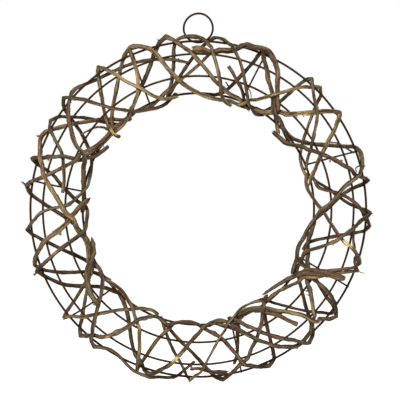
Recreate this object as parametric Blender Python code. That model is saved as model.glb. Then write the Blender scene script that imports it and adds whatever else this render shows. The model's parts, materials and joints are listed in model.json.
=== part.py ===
"""Wreath frame: woody vine stems coiled round a four-ring wire frame, with a wire loop to hang it by.

Frame of reference: +Z up, the wreath stands in the XZ plane and its front faces -Y. The origin is
where a hook bears, at the inside top of the hanging loop.

Every place on the wreath is given by three numbers:
  clock   degrees round the wreath, anticlockwise seen from the front, 0 at +X and 90 at the top
  across  0 on the inner ring and 1 on the outer ring
  lift    millimetres in front of the plane of the inner and outer rings
A stem's route is a list of (clock, across, layer). Layer 1, 2 or 3 runs over the front, each one
further out than the last, -1 or -2 runs over the back, and 0 is a turn round an edge. settle() draws
the coils tight round the wires, so that they rest on each other in that order.
"""
import math

import bmesh
import bpy
import numpy as np
from mathutils import Vector

MM = 0.001

# Wire frame, in millimetres
INNER_RADIUS = 138.0          # inner ring, to the middle of its wire
OUTER_RADIUS = 200.0          # outer ring: a 16 inch (400 mm) frame
RAISED_ACROSS = (0.335, 0.76)  # the two raised rings
RAISED_LIFT = 31.0            # depth of the trough between the rings' two planes
LEAN = 1.0 / 1120.0           # the section narrows towards the middle by this share per mm of lift
RING_WIRE = 1.0               # radius of the ring wire
STRUT_WIRE = 0.8              # radius of the cross struts' wire
LOOP_WIRE = 0.9               # radius of the hanging loop's wire
LOOP_RADIUS = 17.5            # hanging loop, to the middle of its wire
LOOP_HEIGHT = 215.7           # middle of the loop above the middle of the wreath
GAP = 0.3                     # clearance left at every weld and crossing

# Meshes
RING_STEPS = 72
LOOP_STEPS = 36
SIDES = 5
STEM_STEP = 10.0              # distance between the sections of a stem
CURVE_POINTS = 12             # points read from the curve between two stations

# Settling
ROUNDS = 420
FINAL_ROUNDS = 400
TENSION = 0.05                # share of the way to the wires that a coil is drawn in each round
HOLD = 0.12                   # share of the way back to its own route that a stem is drawn
STIFFNESS = 0.22              # share of a kink that is straightened in each round
STIFFNESS_BY_AXIS = (0.3, 0.3, 1.0)
CLEARANCE = GAP + 0.12        # kept between centre lines, beyond the two radii
DONE = 0.01                   # worst shortfall of that clearance that still counts as clear
LAYER_RISE = 4.5              # how much further out each layer starts
STAGGER = 0.35                # starting lifts differ a little, so that no two stems start in one place
STAGGER_STEPS = 5             # after this many stems the differences begin again
PAIRING_REACH = 12.0          # stems further apart than this are not tested until the next pairing
ROUNDS_PER_PAIRING = 10
FINAL_ROUNDS_PER_PAIRING = 20
NEIGHBOURS = 4                # segments this near along one stem are not tested against each other
TINY = 1e-6

# Lift of the first layer over the front, and of the back, by how far across
FRONT = ((-0.25, 2), (-0.1, 5), (0.0, 10), (0.1, 20), (0.2, 30), (0.28, 36), (0.33, 38), (0.76, 38),
         (0.82, 35), (0.88, 28), (1.0, 10), (1.06, 3), (1.2, 2))
BACK = ((-0.25, 0), (-0.1, -2), (0.0, -4), (0.1, -5), (0.9, -5), (1.0, -4), (1.1, 0))

# Clock of each strut at its outer end and at its inner end
STRUTS = ((20.0, 22.3), (66.5, 68.0), (113.0, 114.8), (170.3, 171.3), (220.0, 222.8),
          (284.8, 286.3), (332.6, 334.3))

# Corners of a strut: how far across, 1 where it is up at the raised rings or 0 where it is down at the
# outer and inner ones, and millimetres above or below them
STRUT_CORNERS = ((1.012, 0, 0.0), (0.99, 0, 0.6), (0.79, 1, -2.5), (0.745, 1, 0.0), (0.35, 1, 0.0),
                 (0.305, 1, -2.5), (0.03, 0, 0.8), (-0.012, 0, 0.0))

WIRE_BROWN = (0.045, 0.028, 0.018)
WIRE_FINISH = (0.6, 0.35)     # roughness, metallic
BARK_FINISH = (0.85, 0.0)
BARK = {"tan": (0.24, 0.17, 0.105), "olive": (0.15, 0.12, 0.075), "brown": (0.125, 0.083, 0.055),
        "rust": (0.17, 0.085, 0.05), "dark": (0.062, 0.047, 0.034), "pale": (0.36, 0.25, 0.13)}

# Name, bark, radius at the first and at the last station, route
STEMS = (
    ("stem_01", "tan", 2.4, 2.1, (
        (137, -.01, -1), (133.9, .18, -1), (126.3, .48, -1), (121, .73, -1), (115.9, 1.03, -1),
        (111.3, 1.13, 0), (106.7, .98, 3), (104, .71, 3), (102.3, .53, 3), (100.1, .38, 3),
        (94.7, .11, 3), (88.2, -.03, 2), (81, -.10, 1), (73, -.09, 1), (65, -.07, 1))),
    ("stem_02", "olive", 2.0, 1.8, (
        (57, -.01, 0), (54.3, .12, -1), (53, .3, -1), (52, .5, -1), (51.3, .74, -1), (50.6, .93, -1),
        (49.4, 1.05, 0), (46.5, .96, 2), (43.5, .85, 2), (40.5, .76, 2), (38, .68, 2), (35, .53, 1),
        (32, .39, 1), (29.5, .27, 1), (26.5, .15, 1), (23.5, .05, 1), (20.5, -.02, 1))),
    ("stem_03", "tan", 2.5, 2.2, (
        (126, .0, -1), (122, .12, -1), (118, .26, -2), (111, .54, -2), (106.9, .80, -2),
        (103.6, 1.02, -1), (100.6, 1.16, 0), (97.5, 1.01, 1), (93.6, .81, 2), (89.3, .59, 2),
        (84.9, .38, 2), (81, .2, 2), (78.6, .12, 1), (75, .06, 1), (71, .02, 1), (67, -.02, 1),
        (63, -.04, 0))),
    ("stem_04", "dark", 1.9, 2.4, (
        (84, -.03, 0), (80.5, .01, -1), (77.8, .06, -1), (75.8, .15, -1), (72.7, .41, -1),
        (71, .58, -1), (69.7, .74, -1), (68.4, .93, -1), (67.4, 1.03, 0), (66.2, .88, 2), (64, .74, 2),
        (61, .57, 2), (58, .44, 2), (55, .34, 1), (51.5, .2, 1), (49, .12, 1), (46, .08, 1),
        (43.5, .02, 1), (40.5, -.04, 1), (38, -.06, 1), (36.5, -.05, 0))),
    ("stem_05", "olive", 2.3, 1.7, (
        (105, .0, -1), (101.5, .28, -1), (99.6, .6, -1), (98.5, .98, -1), (96, 1.09, 0), (92, 1.1, 0),
        (88.5, 1.05, 0), (86.4, .93, 2), (84.7, .78, 3), (83.2, .63, 3), (81.9, .46, 3), (80.5, .28, 3),
        (79.5, .1, 2), (77.8, -.05, 1), (75.5, -.1, 1), (72.8, -.12, 0))),
    ("stem_06", "brown", 1.9, 1.8, (
        (104, .05, -1), (98.2, .33, -2), (93.6, .58, -2), (90.8, .78, -2), (86.6, 1.01, -1),
        (83.5, 1.1, 0), (80.5, 1.04, 0), (78.5, .94, 2), (75, .77, 2), (73, .63, 2), (71.3, .51, 2),
        (69, .32, 2), (66, .12, 2), (64, .02, 2), (61.5, -.04, 1), (58.8, -.08, 1), (57.5, -.06, 1),
        (55.8, -.02, 0))),
    ("stem_07", "tan", 2.8, 2.0, (
        (60, -.02, 0), (57.5, -.03, 1), (53.5, .07, 1), (50.5, .14, 1), (48.5, .22, 1), (46.5, .30, 1),
        (44.5, .4, 1), (43, .48, 1), (41, .6, 1), (39, .74, 1), (37, .9, 1), (35.5, 1.0, 1),
        (34, 1.055, 0), (32.7, .97, 2), (30.7, .82, 2), (28, .62, 2), (26.3, .5, 2), (24.2, .37, 2),
        (21.5, .25, 1), (18.5, .145, 1), (15.5, .05, 1), (13, -.03, 1), (11, -.10, 1))),
    ("stem_08", "brown", 3.3, 2.4, (
        (91.2, .84, 1), (87, .845, 1), (83, .86, 1), (80, .88, 1), (78, .91, 1), (76, .97, 1),
        (74.3, 1.05, 0), (72, 1.06, 0), (69.5, 1.05, 2), (67.2, 1.03, 2), (65, 1.06, 2),
        (63.6, 1.01, 1), (62.2, .95, 1), (60.8, .86, 1), (59.4, .75, 1), (57.8, .62, 1),
        (56.3, .49, 1), (54.6, .36, 1), (52.5, .24, 1), (50.3, .13, 1), (48, .03, 1), (46, -.04, 1),
        (44, -.1, 1))),
    ("stem_09", "rust", 1.9, 1.7, (
        (78.2, .58, 1), (76, .49, 1), (73, .35, 1), (71, .28, 1), (69.5, .2, 1), (68.3, .1, 1),
        (66.8, .0, 1), (64.5, -.06, 0), (61.5, -.07, 0))),
    ("stem_10", "tan", 1.8, 1.8, (
        (69, -.07, 1), (66, .03, 1), (63.3, .1, 2), (60.3, .22, 2), (57.3, .37, 3), (55.3, .47, 3),
        (53.3, .6, 3), (51.5, .72, 3), (49.7, .83, 2), (48.3, .92, 1), (47, 1.01, 0), (45.3, 1.07, 0),
        (43.9, 1.04, 0), (42.8, .95, -1), (42, .86, -1), (41, .74, -1), (39.7, .62, -1), (38, .48, -1),
        (36, .34, -1), (34, .22, -1), (32, .12, -1), (30, .05, -1), (28, .0, -1), (25.5, -.06, 0),
        (22, -.085, 0), (19, -.08, 0), (15.5, -.05, 0))),
    ("stem_11", "olive", 2.1, 2.3, (
        (46, .06, -1), (43, .02, -1), (39, .0, -1), (36, .04, -1), (33, .13, -1), (31, .22, -1),
        (29, .34, -1), (27, .47, -1), (25.5, .6, -1), (24, .73, -1), (22.8, .86, -1), (21.8, .99, -1),
        (20.5, 1.05, 0), (18.5, 1.075, 0), (16.5, 1.07, 0), (14.5, 1.04, 0), (13, .97, 1),
        (11.5, .86, 2), (10, .71, 2), (8, .57, 2), (6, .46, 2), (4, .385, 2), (2, .29, 2), (0, .185, 2),
        (-2, .12, 2), (-4, .045, 2), (-6, .0, 2), (-10, -.06, 1), (-15, -.11, 1), (-18.6, -.17, 1),
        (-20.3, -.21, 1), (-22, -.175, 1), (-27, -.11, 1), (-31, -.05, 1), (-34, .0, 0))),
    ("stem_12", "brown", 2.4, 2.0, (
        (45.3, -.165, 0), (43, -.155, 1), (40.5, -.145, 1), (38, -.13, 1), (36, -.09, 1),
        (34, -.02, 1), (32, .06, 1), (30, .15, 2), (28, .22, 2), (26, .3, 2), (24, .38, 3),
        (22, .48, 3), (20, .57, 2), (18.5, .63, 2), (17, .68, 2), (15.5, .73, 2), (14, .79, 1),
        (12.6, .86, 1), (11.2, .97, 1), (10, 1.035, 0), (9.1, 1.0, -1), (8.5, .9, -1), (8, .8, -1),
        (7.3, .7, -1), (6.4, .6, -1), (5.2, .51, -1), (3.5, .42, -1), (1, .31, -1), (-1, .21, -1),
        (-3, .11, -1), (-5.5, .01, -1))),
    ("stem_13", "rust", 1.9, 1.9, (
        (16.5, .0, 1), (14, .0, 1), (12.3, .03, 1), (10.5, .1, 1), (9, .19, 1), (8.2, .3, 1),
        (7.3, .43, 1), (6, .54, 1), (5, .62, 1), (3, .73, 1), (1, .84, 1), (-1, .94, 1),
        (-2.7, 1.01, 0), (-4.5, 1.045, 0), (-6.4, 1.06, 0), (-7.5, .98, -1), (-8.4, .87, -1),
        (-9.6, .68, -1), (-10.3, .57, -1), (-11.3, .45, -1), (-12.5, .31, -1), (-13.8, .19, -1),
        (-15.2, .06, -1), (-17.5, -.03, -1), (-21, -.05, 0))),
    ("stem_14", "dark", 1.8, 2.0, (
        (16.5, .02, -1), (13.5, .08, -1), (11, .19, -1), (9, .3, -1), (6.5, .42, -1), (4.3, .5, -1),
        (3, .59, -1), (1.5, .71, -1), (.4, .85, -1), (-.4, .97, -1), (-1.2, 1.035, 0), (-2.8, .99, 1),
        (-4.5, .88, 1), (-6.5, .79, 1), (-8, .72, 1), (-9.5, .64, 1), (-11, .58, 2), (-12.5, .53, 2),
        (-13.8, .46, 2), (-15.2, .37, 2), (-16.8, .27, 2), (-18.5, .15, 2), (-20, .06, 2),
        (-22, .01, 1), (-25, -.04, 1), (-29, -.05, 1), (-33, -.02, 0))),
    ("stem_15", "brown", 1.8, 1.9, (
        (18, -.04, 1), (14, -.05, 1), (10.5, -.075, 1), (7.5, -.045, 1), (5, .0, 1), (3, .045, 1),
        (0, .11, 1), (-2, .18, 1), (-5, .3, 1), (-8, .41, 1), (-10, .48, 1), (-11.7, .57, 1),
        (-13.4, .7, 1), (-14.8, .85, 1), (-16.6, .98, 1), (-18.6, 1.04, 0), (-20.5, .97, 1),
        (-22, .85, 1), (-23.5, .74, 1), (-25.3, .61, 1), (-27, .46, 1), (-28.7, .31, 1), (-30.2, .2, 1),
        (-32, .09, 1), (-34, .01, 0))),
    ("stem_16", "tan", 1.7, 2.0, (
        (-17.3, .93, -1), (-19.2, 1.02, 0), (-21, 1.06, 0), (-22.2, .95, 2), (-23.2, .82, 2),
        (-24.8, .67, 2), (-27.2, .51, 2), (-29.6, .4, 2), (-31.5, .32, 2), (-33.7, .23, 1),
        (-37.1, .13, 1), (-40.5, .06, 1), (-43.6, .0, 1), (-46.3, -.03, 1), (-49.2, -.045, 1),
        (-52.8, -.03, 0))),
    ("stem_17", "brown", 3.5, 1.9, (
        (-24.8, .85, 3), (-25.2, .76, 3), (-25.6, .68, 3), (-26.5, .55, 3), (-27.6, .42, 3),
        (-29.1, .28, 2), (-31, .17, 2), (-33, .08, 1), (-35.5, .01, 1), (-38, -.04, 1), (-41, -.09, 1),
        (-45, -.13, 1), (-49, -.15, 1), (-53.5, -.165, 1))),
    ("stem_18", "olive", 2.1, 2.2, (
        (-26, -.05, 0), (-28, .05, -1), (-29.2, .22, -1), (-30.6, .38, -1), (-32, .51, -1),
        (-34, .70, -1), (-35.4, .88, -1), (-36.8, .99, -1), (-38.6, 1.06, 0), (-40, 1.03, 0),
        (-41.3, .97, 1), (-42.7, .86, 2), (-43.5, .78, 2), (-44.5, .68, 2), (-46.3, .56, 2),
        (-48.3, .43, 2), (-51, .31, 2), (-54, .2, 2), (-56.2, .1, 1), (-58.5, .02, 1), (-61, -.04, 1),
        (-65, -.09, 1), (-69, -.08, 1), (-72, -.03, 0))),
    ("stem_19", "dark", 2.0, 1.6, (
        (-25.5, -.09, 1), (-28, .0, 1), (-29.4, .17, 1), (-30.4, .35, 1), (-31.5, .55, 1),
        (-32.7, .74, 1), (-34, .9, 1), (-35, 1.0, 0), (-36.4, 1.075, 0), (-37.8, 1.05, 0),
        (-38.8, .97, -1), (-40, .87, -1), (-41.5, .77, -1), (-43.5, .63, -1), (-45.5, .47, -1),
        (-47.5, .32, -1), (-49.5, .2, -1), (-51.5, .08, -1), (-53.5, -.01, -1), (-56.5, -.09, -1),
        (-59, -.14, 0), (-61.5, -.155, 0))),
    ("stem_20", "brown", 1.9, 2.3, (
        (-32.5, .05, -1), (-34.5, .1, -1), (-36.5, .21, -1), (-38.5, .32, -1), (-40.5, .44, -1),
        (-42.5, .58, -1), (-44, .72, -1), (-45.3, .86, -1), (-46.6, .99, -1), (-48.5, 1.07, 0),
        (-50.3, 1.11, 0), (-52, 1.03, 1), (-54, .88, 1), (-56, .77, 1), (-58, .67, 1), (-60, .57, 1),
        (-62, .47, 1), (-64, .38, 1), (-66, .28, 1), (-68, .18, 1), (-69.7, .08, 1), (-71.5, .0, 1),
        (-74, -.04, 0))),
    ("stem_21", "olive", 2.4, 2.2, (
        (-6.3, .0, 1), (-8.5, -.015, 1), (-12, -.04, 1), (-16.5, -.04, 1), (-21, -.01, 1),
        (-25.5, .07, 1), (-29, .19, 1), (-32.5, .27, 1), (-35, .38, 1), (-37.2, .49, 1), (-40, .64, 1),
        (-42.8, .77, 1), (-45.3, .89, 1), (-47.6, .99, 0), (-50, 1.03, 0), (-52, 1.06, 0),
        (-53.7, 1.06, 0), (-55.3, 1.0, 0), (-57, .93, 1), (-60, .81, 2), (-62.5, .68, 2),
        (-64.5, .55, 2), (-66.5, .43, 2), (-69, .34, 2), (-71.5, .22, 2), (-74, .13, 2),
        (-76, .07, 1), (-78, .01, 1), (-80.5, -.05, 1), (-82.5, -.05, 1), (-85, .02, 0))),
    ("stem_22", "brown", 2.4, 1.9, (
        (-49.3, .70, 1), (-50.2, .62, 1), (-51.7, .45, 1), (-53.3, .31, 1), (-55, .18, 1),
        (-56.3, .09, 1), (-58.5, .01, 1), (-60.5, -.04, 1), (-63.5, -.07, 1), (-67, -.06, 1),
        (-69.5, .0, 0), (-71, .11, -1), (-72.5, .28, -1), (-73.5, .45, -1), (-74.4, .6, -1),
        (-75.5, .73, -1), (-76.7, .81, -1))),
    ("stem_23", "rust", 2.2, 2.1, (
        (-52, -.1, 0), (-54, -.06, 0), (-56, .03, -1), (-57.5, .14, -1), (-58.7, .26, -1),
        (-60, .42, -1), (-61, .6, -1), (-62, .80, -1), (-62.7, .95, -1), (-63.8, 1.03, 0),
        (-66, 1.055, 0), (-68.5, 1.035, 0), (-70.5, .985, 1), (-72.5, .87, 2), (-74.3, .74, 2),
        (-75.8, .60, 2), (-77.8, .45, 2), (-79.7, .31, 2), (-82, .20, 2), (-84.5, .12, 2),
        (-87.1, .04, 2), (-90, -.02, 1), (-93, -.06, 1), (-96, -.06, 1), (-99, -.04, 1),
        (-102.7, .03, 0), (-105, .08, 0))),
    ("stem_24", "pale", 1.7, 1.3, (
        (-109, -.02, -1), (-106, .12, -1), (-102.3, .39, -1), (-99, .59, -1), (-95.6, .83, -1),
        (-93.8, 1.01, -1), (-92.8, 1.08, 0), (-91.7, 1.01, 1), (-88.4, .83, 1), (-85.8, .63, 1),
        (-82.8, .41, 2), (-80.3, .29, 3), (-78, .18, 2), (-76, .1, 1), (-74, .03, 1), (-71.5, -.05, 1),
        (-68, -.11, 1), (-64, -.15, 1), (-61, -.17, 1), (-58, -.13, 0), (-55, -.06, 0))),
    ("stem_25", "brown", 2.0, 2.0, (
        (-111, -.02, -1), (-108, .05, -1), (-103.8, .13, -1), (-99.5, .28, -1), (-94.9, .44, -1),
        (-90.8, .61, -1), (-87.3, .83, -1), (-84.4, 1.0, -1), (-82.5, 1.08, 0), (-80.5, 1.045, 0),
        (-78.5, .99, 1), (-75.5, .88, 1), (-72.5, .78, 1), (-69.5, .65, 1), (-66.5, .52, 1),
        (-64.5, .43, 1), (-62, .33, 1), (-59.5, .19, 1), (-57, .09, 1), (-55, .04, 1))),
    ("stem_26", "rust", 2.4, 1.5, (
        (-80.3, .96, 1), (-82.5, .935, 1), (-85.3, .92, 1), (-89, .865, 1), (-92.5, .85, 1))),
    ("stem_27", "olive", 2.2, 2.2, (
        (-134, -.01, -1), (-130, .03, -1), (-125.7, .14, -1), (-121.3, .33, -1), (-118, .54, -1),
        (-114.8, .74, -1), (-111.7, .93, -1), (-109, 1.05, 0), (-106.3, 1.11, 0), (-104.5, 1.01, 2),
        (-101, .83, 3), (-97.7, .64, 3), (-95.1, .44, 3), (-91.9, .26, 3), (-88.6, .11, 3),
        (-84.5, .01, 2), (-82.5, -.035, 1), (-80.5, -.055, 1), (-78.7, -.02, 1), (-76.4, .035, 1),
        (-73.5, .1, 0), (-71, .18, 0))),
    ("stem_28", "tan", 2.0, 1.8, (
        (-102, .0, -1), (-104.9, .19, -1), (-107, .33, -1), (-108.5, .55, -1), (-109.5, .8, -1),
        (-110.3, 1.0, -1), (-111, 1.09, 0), (-111.5, .95, 1), (-112.4, .73, 1), (-113.7, .58, 1),
        (-115.2, .44, 1), (-118.5, .24, 1), (-122, .13, 1), (-125.7, .03, 1), (-128.9, -.04, 1),
        (-132, -.07, 1), (-135, -.09, 1), (-138, -.06, 1), (-141, -.02, 1), (-145, .05, 0))),
    ("stem_29", "brown", 1.7, 2.1, (
        (-91.8, .72, -1), (-93.6, .82, -1), (-95.6, .93, -1), (-97.5, 1.05, 0), (-102, 1.08, 0),
        (-107.6, 1.12, 0), (-111, 1.09, 0), (-114, 1.08, 0), (-116, 1.03, 0), (-118, .98, 1),
        (-121, .94, 1), (-123.5, .98, 1), (-126, 1.06, 0), (-127.4, 1.12, 0), (-128.7, 1.06, 1),
        (-130.5, .9, 1), (-132.5, .75, 1), (-134.7, .56, 1), (-136.4, .43, 1), (-138.1, .29, 1),
        (-139.9, .19, 1), (-142, .11, 1), (-144.2, .04, 1), (-147.5, -.01, 1), (-151, .0, 1),
        (-154.5, .04, 0))),
    ("stem_30", "olive", 1.9, 2.3, (
        (-158, .03, -1), (-152.9, .13, -1), (-147.5, .26, -1), (-143.8, .44, -1), (-139.4, .66, -1),
        (-136.2, .88, -1), (-134.6, 1.0, -1), (-133, 1.09, 0), (-131.6, 1.04, 1), (-129, .91, 1),
        (-126.7, .83, 2), (-124.5, .7, 2), (-122.2, .54, 2), (-119.8, .34, 2), (-117.5, .18, 2),
        (-114.8, .05, 2), (-111.8, -.02, 1), (-109, -.02, 1), (-106.5, .04, 0), (-104.7, .09, -1))),
    ("stem_31", "tan", 1.9, 2.0, (
        (-153, .02, -1), (-149.5, .16, -1), (-147.5, .29, -1), (-146.4, .41, -1), (-144.7, .58, -1),
        (-143, .8, -1), (-142, .98, -1), (-141, 1.06, 0), (-140.1, .98, 1), (-137, .79, 1),
        (-134, .59, 1), (-130.7, .38, 1), (-126.7, .18, 1), (-123.5, .04, 1), (-120, -.02, 1),
        (-116.9, -.07, 1), (-114, -.105, 1), (-112, -.11, 0), (-111, -.06, 0))),
    ("stem_32", "olive", 3.1, 2.5, (
        (-136.7, .43, 1), (-139, .43, 1), (-141.3, .41, 1), (-143.8, .385, 1), (-146.3, .35, 1),
        (-149, .28, 1), (-151.3, .2, 2), (-153.8, .1, 2), (-157, .0, 2), (-160.5, -.06, 2),
        (-165.3, -.11, 2))),
    ("stem_33", "dark", 2.2, 2.2, (
        (-132, -.03, -1), (-134.5, .02, -1), (-139.9, .11, -1), (-143.8, .29, -1), (-146.8, .48, -1),
        (-150.5, .73, -1), (-154, .89, -1), (-156.8, .99, -1), (-159.2, 1.10, 0), (-160.3, .96, 3),
        (-161.6, .76, 3), (-163.5, .58, 3), (-165, .4, 3), (-166.3, .25, 3), (-168.5, .07, 3),
        (-172, -.05, 2), (-175.8, -.09, 2), (-179, -.1, 1), (-181.5, -.03, 0), (-183, .09, -1),
        (-186, .23, -1), (-189.2, .41, -1), (-193.3, .63, -1), (-195.3, .94, -1), (-196.8, 1.11, 0),
        (-198.5, .93, 1), (-199.4, .76, 1), (-200.7, .59, 1), (-202.3, .4, 1), (-203.7, .2, 1),
        (-205.5, .05, 1), (-208.5, -.03, 1), (-212, -.09, 1), (-214.7, -.12, 0))),
    ("stem_34", "tan", 1.9, 2.6, (
        (-141, -.03, 0), (-144.5, .02, -1), (-148, .09, -2), (-151, .28, -2), (-153, .47, -2),
        (-155.5, .71, -2), (-157.5, .89, -2), (-159.8, 1.04, -1), (-161.8, 1.1, 0), (-163.8, 1.02, 1),
        (-165.8, .92, 1), (-168.7, .73, 1), (-171.3, .48, 1), (-174.5, .29, 1), (-178, .16, 1),
        (-182, .03, 1), (-184, -.06, 1), (-186, -.13, 1))),
    ("stem_35", "olive", 2.0, 1.8, (
        (-150, .02, -1), (-153, .09, -1), (-158, .23, -1), (-162, .43, -1), (-165.8, .63, -1),
        (-169, .83, -1), (-171.4, 1.0, -1), (-173, 1.08, 0), (-175, 1.0, 1), (-178.4, .8, 1),
        (-180.5, .58, 1), (-181.1, .37, 1), (-182.4, .23, 1), (-184.6, .13, 1), (-187.5, .05, 1),
        (-192, -.03, 1), (-197, -.06, 0), (-201, -.04, 0), (-204.8, .01, 0), (-207.5, .05, -1),
        (-210, .06, -1), (-213, .03, -1))),
    ("stem_36", "brown", 2.1, 2.0, (
        (-164, .02, -1), (-170.4, .09, -1), (-175.4, .28, -1), (-178.9, .49, -1), (-182, .74, -1),
        (-185, 1.0, -1), (-188.3, 1.11, 0), (-190, .96, 1), (-192.5, .76, 1), (-195.5, .58, 1),
        (-199.8, .43, 1), (-203, .29, 1), (-206, .22, 1), (-210, .12, 1), (-214, .05, 1),
        (-219, .01, 1), (-224, -.02, 1), (-231, -.02, 1), (-236, .0, 0))),
    ("stem_37", "tan", 2.8, 2.1, (
        (-149, .2, 1), (-152, .12, 1), (-156, .03, 1), (-160.4, -.02, 1), (-165, -.02, 1),
        (-169, .05, 2), (-173, .17, 2), (-176.8, .3, 2), (-180.3, .39, 3), (-184, .48, 3), (-188, .63, 3),
        (-191.5, .77, 3), (-195, .87, 3), (-198.7, .95, 3), (-202, 1.06, 1), (-205, 1.12, 0),
        (-207.5, 1.01, -1), (-210.8, .84, -1), (-215, .64, -1), (-219.5, .43, -1), (-223.8, .26, -1),
        (-227, .12, -1), (-229.5, .02, -1), (-233, -.04, 0))),
    ("stem_38", "olive", 1.8, 1.7, (
        (-186.8, .40, 1), (-190, .39, 1), (-194.4, .43, 1), (-197.9, .48, 1), (-201, .56, 1),
        (-203.5, .65, 1), (-205.6, .78, 1), (-207.3, .94, 1), (-208.8, 1.05, 0), (-210.7, 1.1, 0),
        (-212.5, 1.05, -1), (-215.1, .88, -1), (-217, .7, -1), (-219.5, .51, -1), (-221.5, .35, -1),
        (-223.2, .2, -1), (-225.3, .04, -1), (-229, -.04, 0))),
    ("stem_39", "brown", 2.5, 1.8, (
        (-178.5, 0, 0), (-182, -.03, 0), (-185, -.045, 1), (-188.5, -.04, 1), (-194, .03, 1),
        (-197, .08, 1), (-200, .13, 1), (-203, .19, 1), (-205.3, .3, 1), (-207, .42, 1), (-209, .53, 1),
        (-211.5, .62, 1), (-213.5, .71, 1), (-215.5, .81, 1), (-217.6, .92, 1), (-220, 1.03, 0),
        (-223, 1.1, 0), (-226, 1.05, -1), (-229, .97, -1), (-233, .91, -1), (-238, .88, -1),
        (-245, .86, -1), (-251, .80, -1), (-256.6, .73, -1), (-262, .66, -1), (-266.2, .58, -1))),
    ("stem_40", "dark", 2.0, 1.8, (
        (-207, .07, -1), (-210.3, .26, -1), (-213.2, .46, -1), (-215, .75, -1), (-216.9, 1.02, -1),
        (-219.5, 1.14, 0), (-221.4, .99, 1), (-223.6, .81, 1), (-225.6, .61, 1), (-227.3, .48, 1),
        (-229.3, .34, 1), (-231.5, .23, 1), (-235, .09, 1), (-239, -.04, 1), (-244, -.1, 1),
        (-248, -.135, 1), (-251, -.14, 0), (-253.2, -.115, 0), (-255.2, -.07, 0), (-257, -.02, -1),
        (-258.8, .03, -1))),
    ("stem_41", "tan", 2.2, 1.9, (
        (-221.5, .05, -1), (-225, .33, -1), (-229.3, .61, -1), (-232.2, .89, -1), (-234.8, 1.1, 0),
        (-237.2, .93, 2), (-238.5, .78, 2), (-239.8, .64, 2), (-242, .49, 2), (-245.2, .31, 2),
        (-248.9, .08, 2), (-252, -.01, 2), (-255, -.035, 1), (-259, -.03, 0))),
    ("stem_42", "tan", 2.0, 1.8, (
        (-246.6, .86, -1), (-246.8, .98, -1), (-246.6, 1.1, 0), (-246.4, .93, 1), (-246.4, .76, 1),
        (-245.9, .61, 1), (-244.6, .46, 1), (-241.3, .24, 1), (-237, .08, 1), (-233, -.01, 1),
        (-226, -.04, 1), (-220, -.04, 1), (-214, .0, 1), (-208.7, .08, 0), (-205.5, .16, 0))),
    ("stem_43", "pale", 2.4, 1.7, (
        (-233, .02, 0), (-237.5, .0, 0), (-242, -.035, 0), (-247.2, -.04, 0), (-250.3, .01, 0),
        (-254, .1, 0), (-258.8, .2, 0), (-264.2, .33, 0), (-267.5, .44, 0), (-269.9, .53, 0),
        (-271.9, .61, 0), (-273.4, .73, 0), (-274.9, .8, 0))),
    ("stem_44", "brown", 1.9, 1.6, (
        (-6, .8, -1), (-8.5, .775, -1), (-11, .80, -1), (-14.6, .875, -1))),
    ("stem_45", "rust", 1.6, 1.9, (
        (-223.2, .12, 1), (-222.3, .06, 1), (-221.7, .0, 1), (-221.6, -.06, 1), (-222, -.12, 1),
        (-222.6, -.17, 1))),
    ("tendril_01", "rust", 0.7, 1.2, (
        (-212, .45, 0), (-214.7, .39, 0), (-217.6, .335, 0), (-219.9, .265, 0), (-221.3, .16, 0),
        (-221.2, .08, 1))),
    ("tendril_02", "dark", 0.8, 0.6, (
        (19.9, .95, 1), (22, .86, 1), (24, .79, 1), (25.5, .75, 1), (26.6, .70, 1), (27.1, .61, 1))),
)


# Places

def profile(curve, across):
    """Read a lift from FRONT or BACK."""
    return np.interp(across, [point[0] for point in curve], [point[1] for point in curve])


def starting_lift(across, layer):
    """Lift of a station before the coils are drawn tight."""
    front = profile(FRONT, across) + LAYER_RISE * max(layer - 1, 0)
    back = profile(BACK, across) - LAYER_RISE * max(-layer - 1, 0)
    share = min(max((layer + 1) / 2, 0), 1)
    return back + (front - back) * share


def place(clock, across, lift):
    """Wreath coordinates as (x, z, lift) in millimetres, from the middle of the wreath."""
    radius = (INNER_RADIUS + across * (OUTER_RADIUS - INNER_RADIUS)) * (1 - LEAN * lift)
    angle = math.radians(clock)
    return radius * math.cos(angle), radius * math.sin(angle), lift


def smooth_route(points, step):
    """Points an even step apart along a Catmull-Rom curve through the given ones."""
    points = np.asarray(points, float)
    ends = np.vstack([2 * points[0] - points[1], points, 2 * points[-1] - points[-2]])
    share = np.linspace(0, 1, CURVE_POINTS, endpoint=False)[:, None]
    pieces = []
    for i in range(1, len(ends) - 2):
        a, b, c, d = ends[i - 1:i + 3]
        pieces.append(b + 0.5 * share * (c - a + share * (2 * a - 5 * b + 4 * c - d
                                                         + share * (3 * (b - c) + d - a))))
    fine = np.vstack(pieces + [points[-1:]])
    along = np.append(0, np.cumsum(np.linalg.norm(np.diff(fine, axis=0), axis=1)))
    count = max(int(round(along[-1] / step)), 2)
    marks = np.linspace(0, along[-1], count + 1)
    return np.column_stack([np.interp(marks, along, fine[:, axis]) for axis in range(fine.shape[1])])


# Wires

def ring_line(across, lift, steps=RING_STEPS):
    return np.array([place(360 * i / steps, across, lift) for i in range(steps)])


def loop_line():
    lift = -(RING_WIRE + LOOP_WIRE + GAP)
    angles = [2 * math.pi * i / LOOP_STEPS for i in range(LOOP_STEPS)]
    return np.array([(LOOP_RADIUS * math.cos(angle), LOOP_HEIGHT + LOOP_RADIUS * math.sin(angle), lift)
                     for angle in angles])


def strut_line(outer_clock, inner_clock):
    """A bent wire welded behind the raised rings and in front of the inner and outer ones."""
    offset = RING_WIRE + STRUT_WIRE + GAP
    levels = (offset, RAISED_LIFT - offset)
    line = []
    for across, raised, shift in STRUT_CORNERS:
        clock = inner_clock + across * (outer_clock - inner_clock)
        line.append(place(clock, across, levels[raised] + shift))
    return np.array(line)


# Settling the coils

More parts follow.
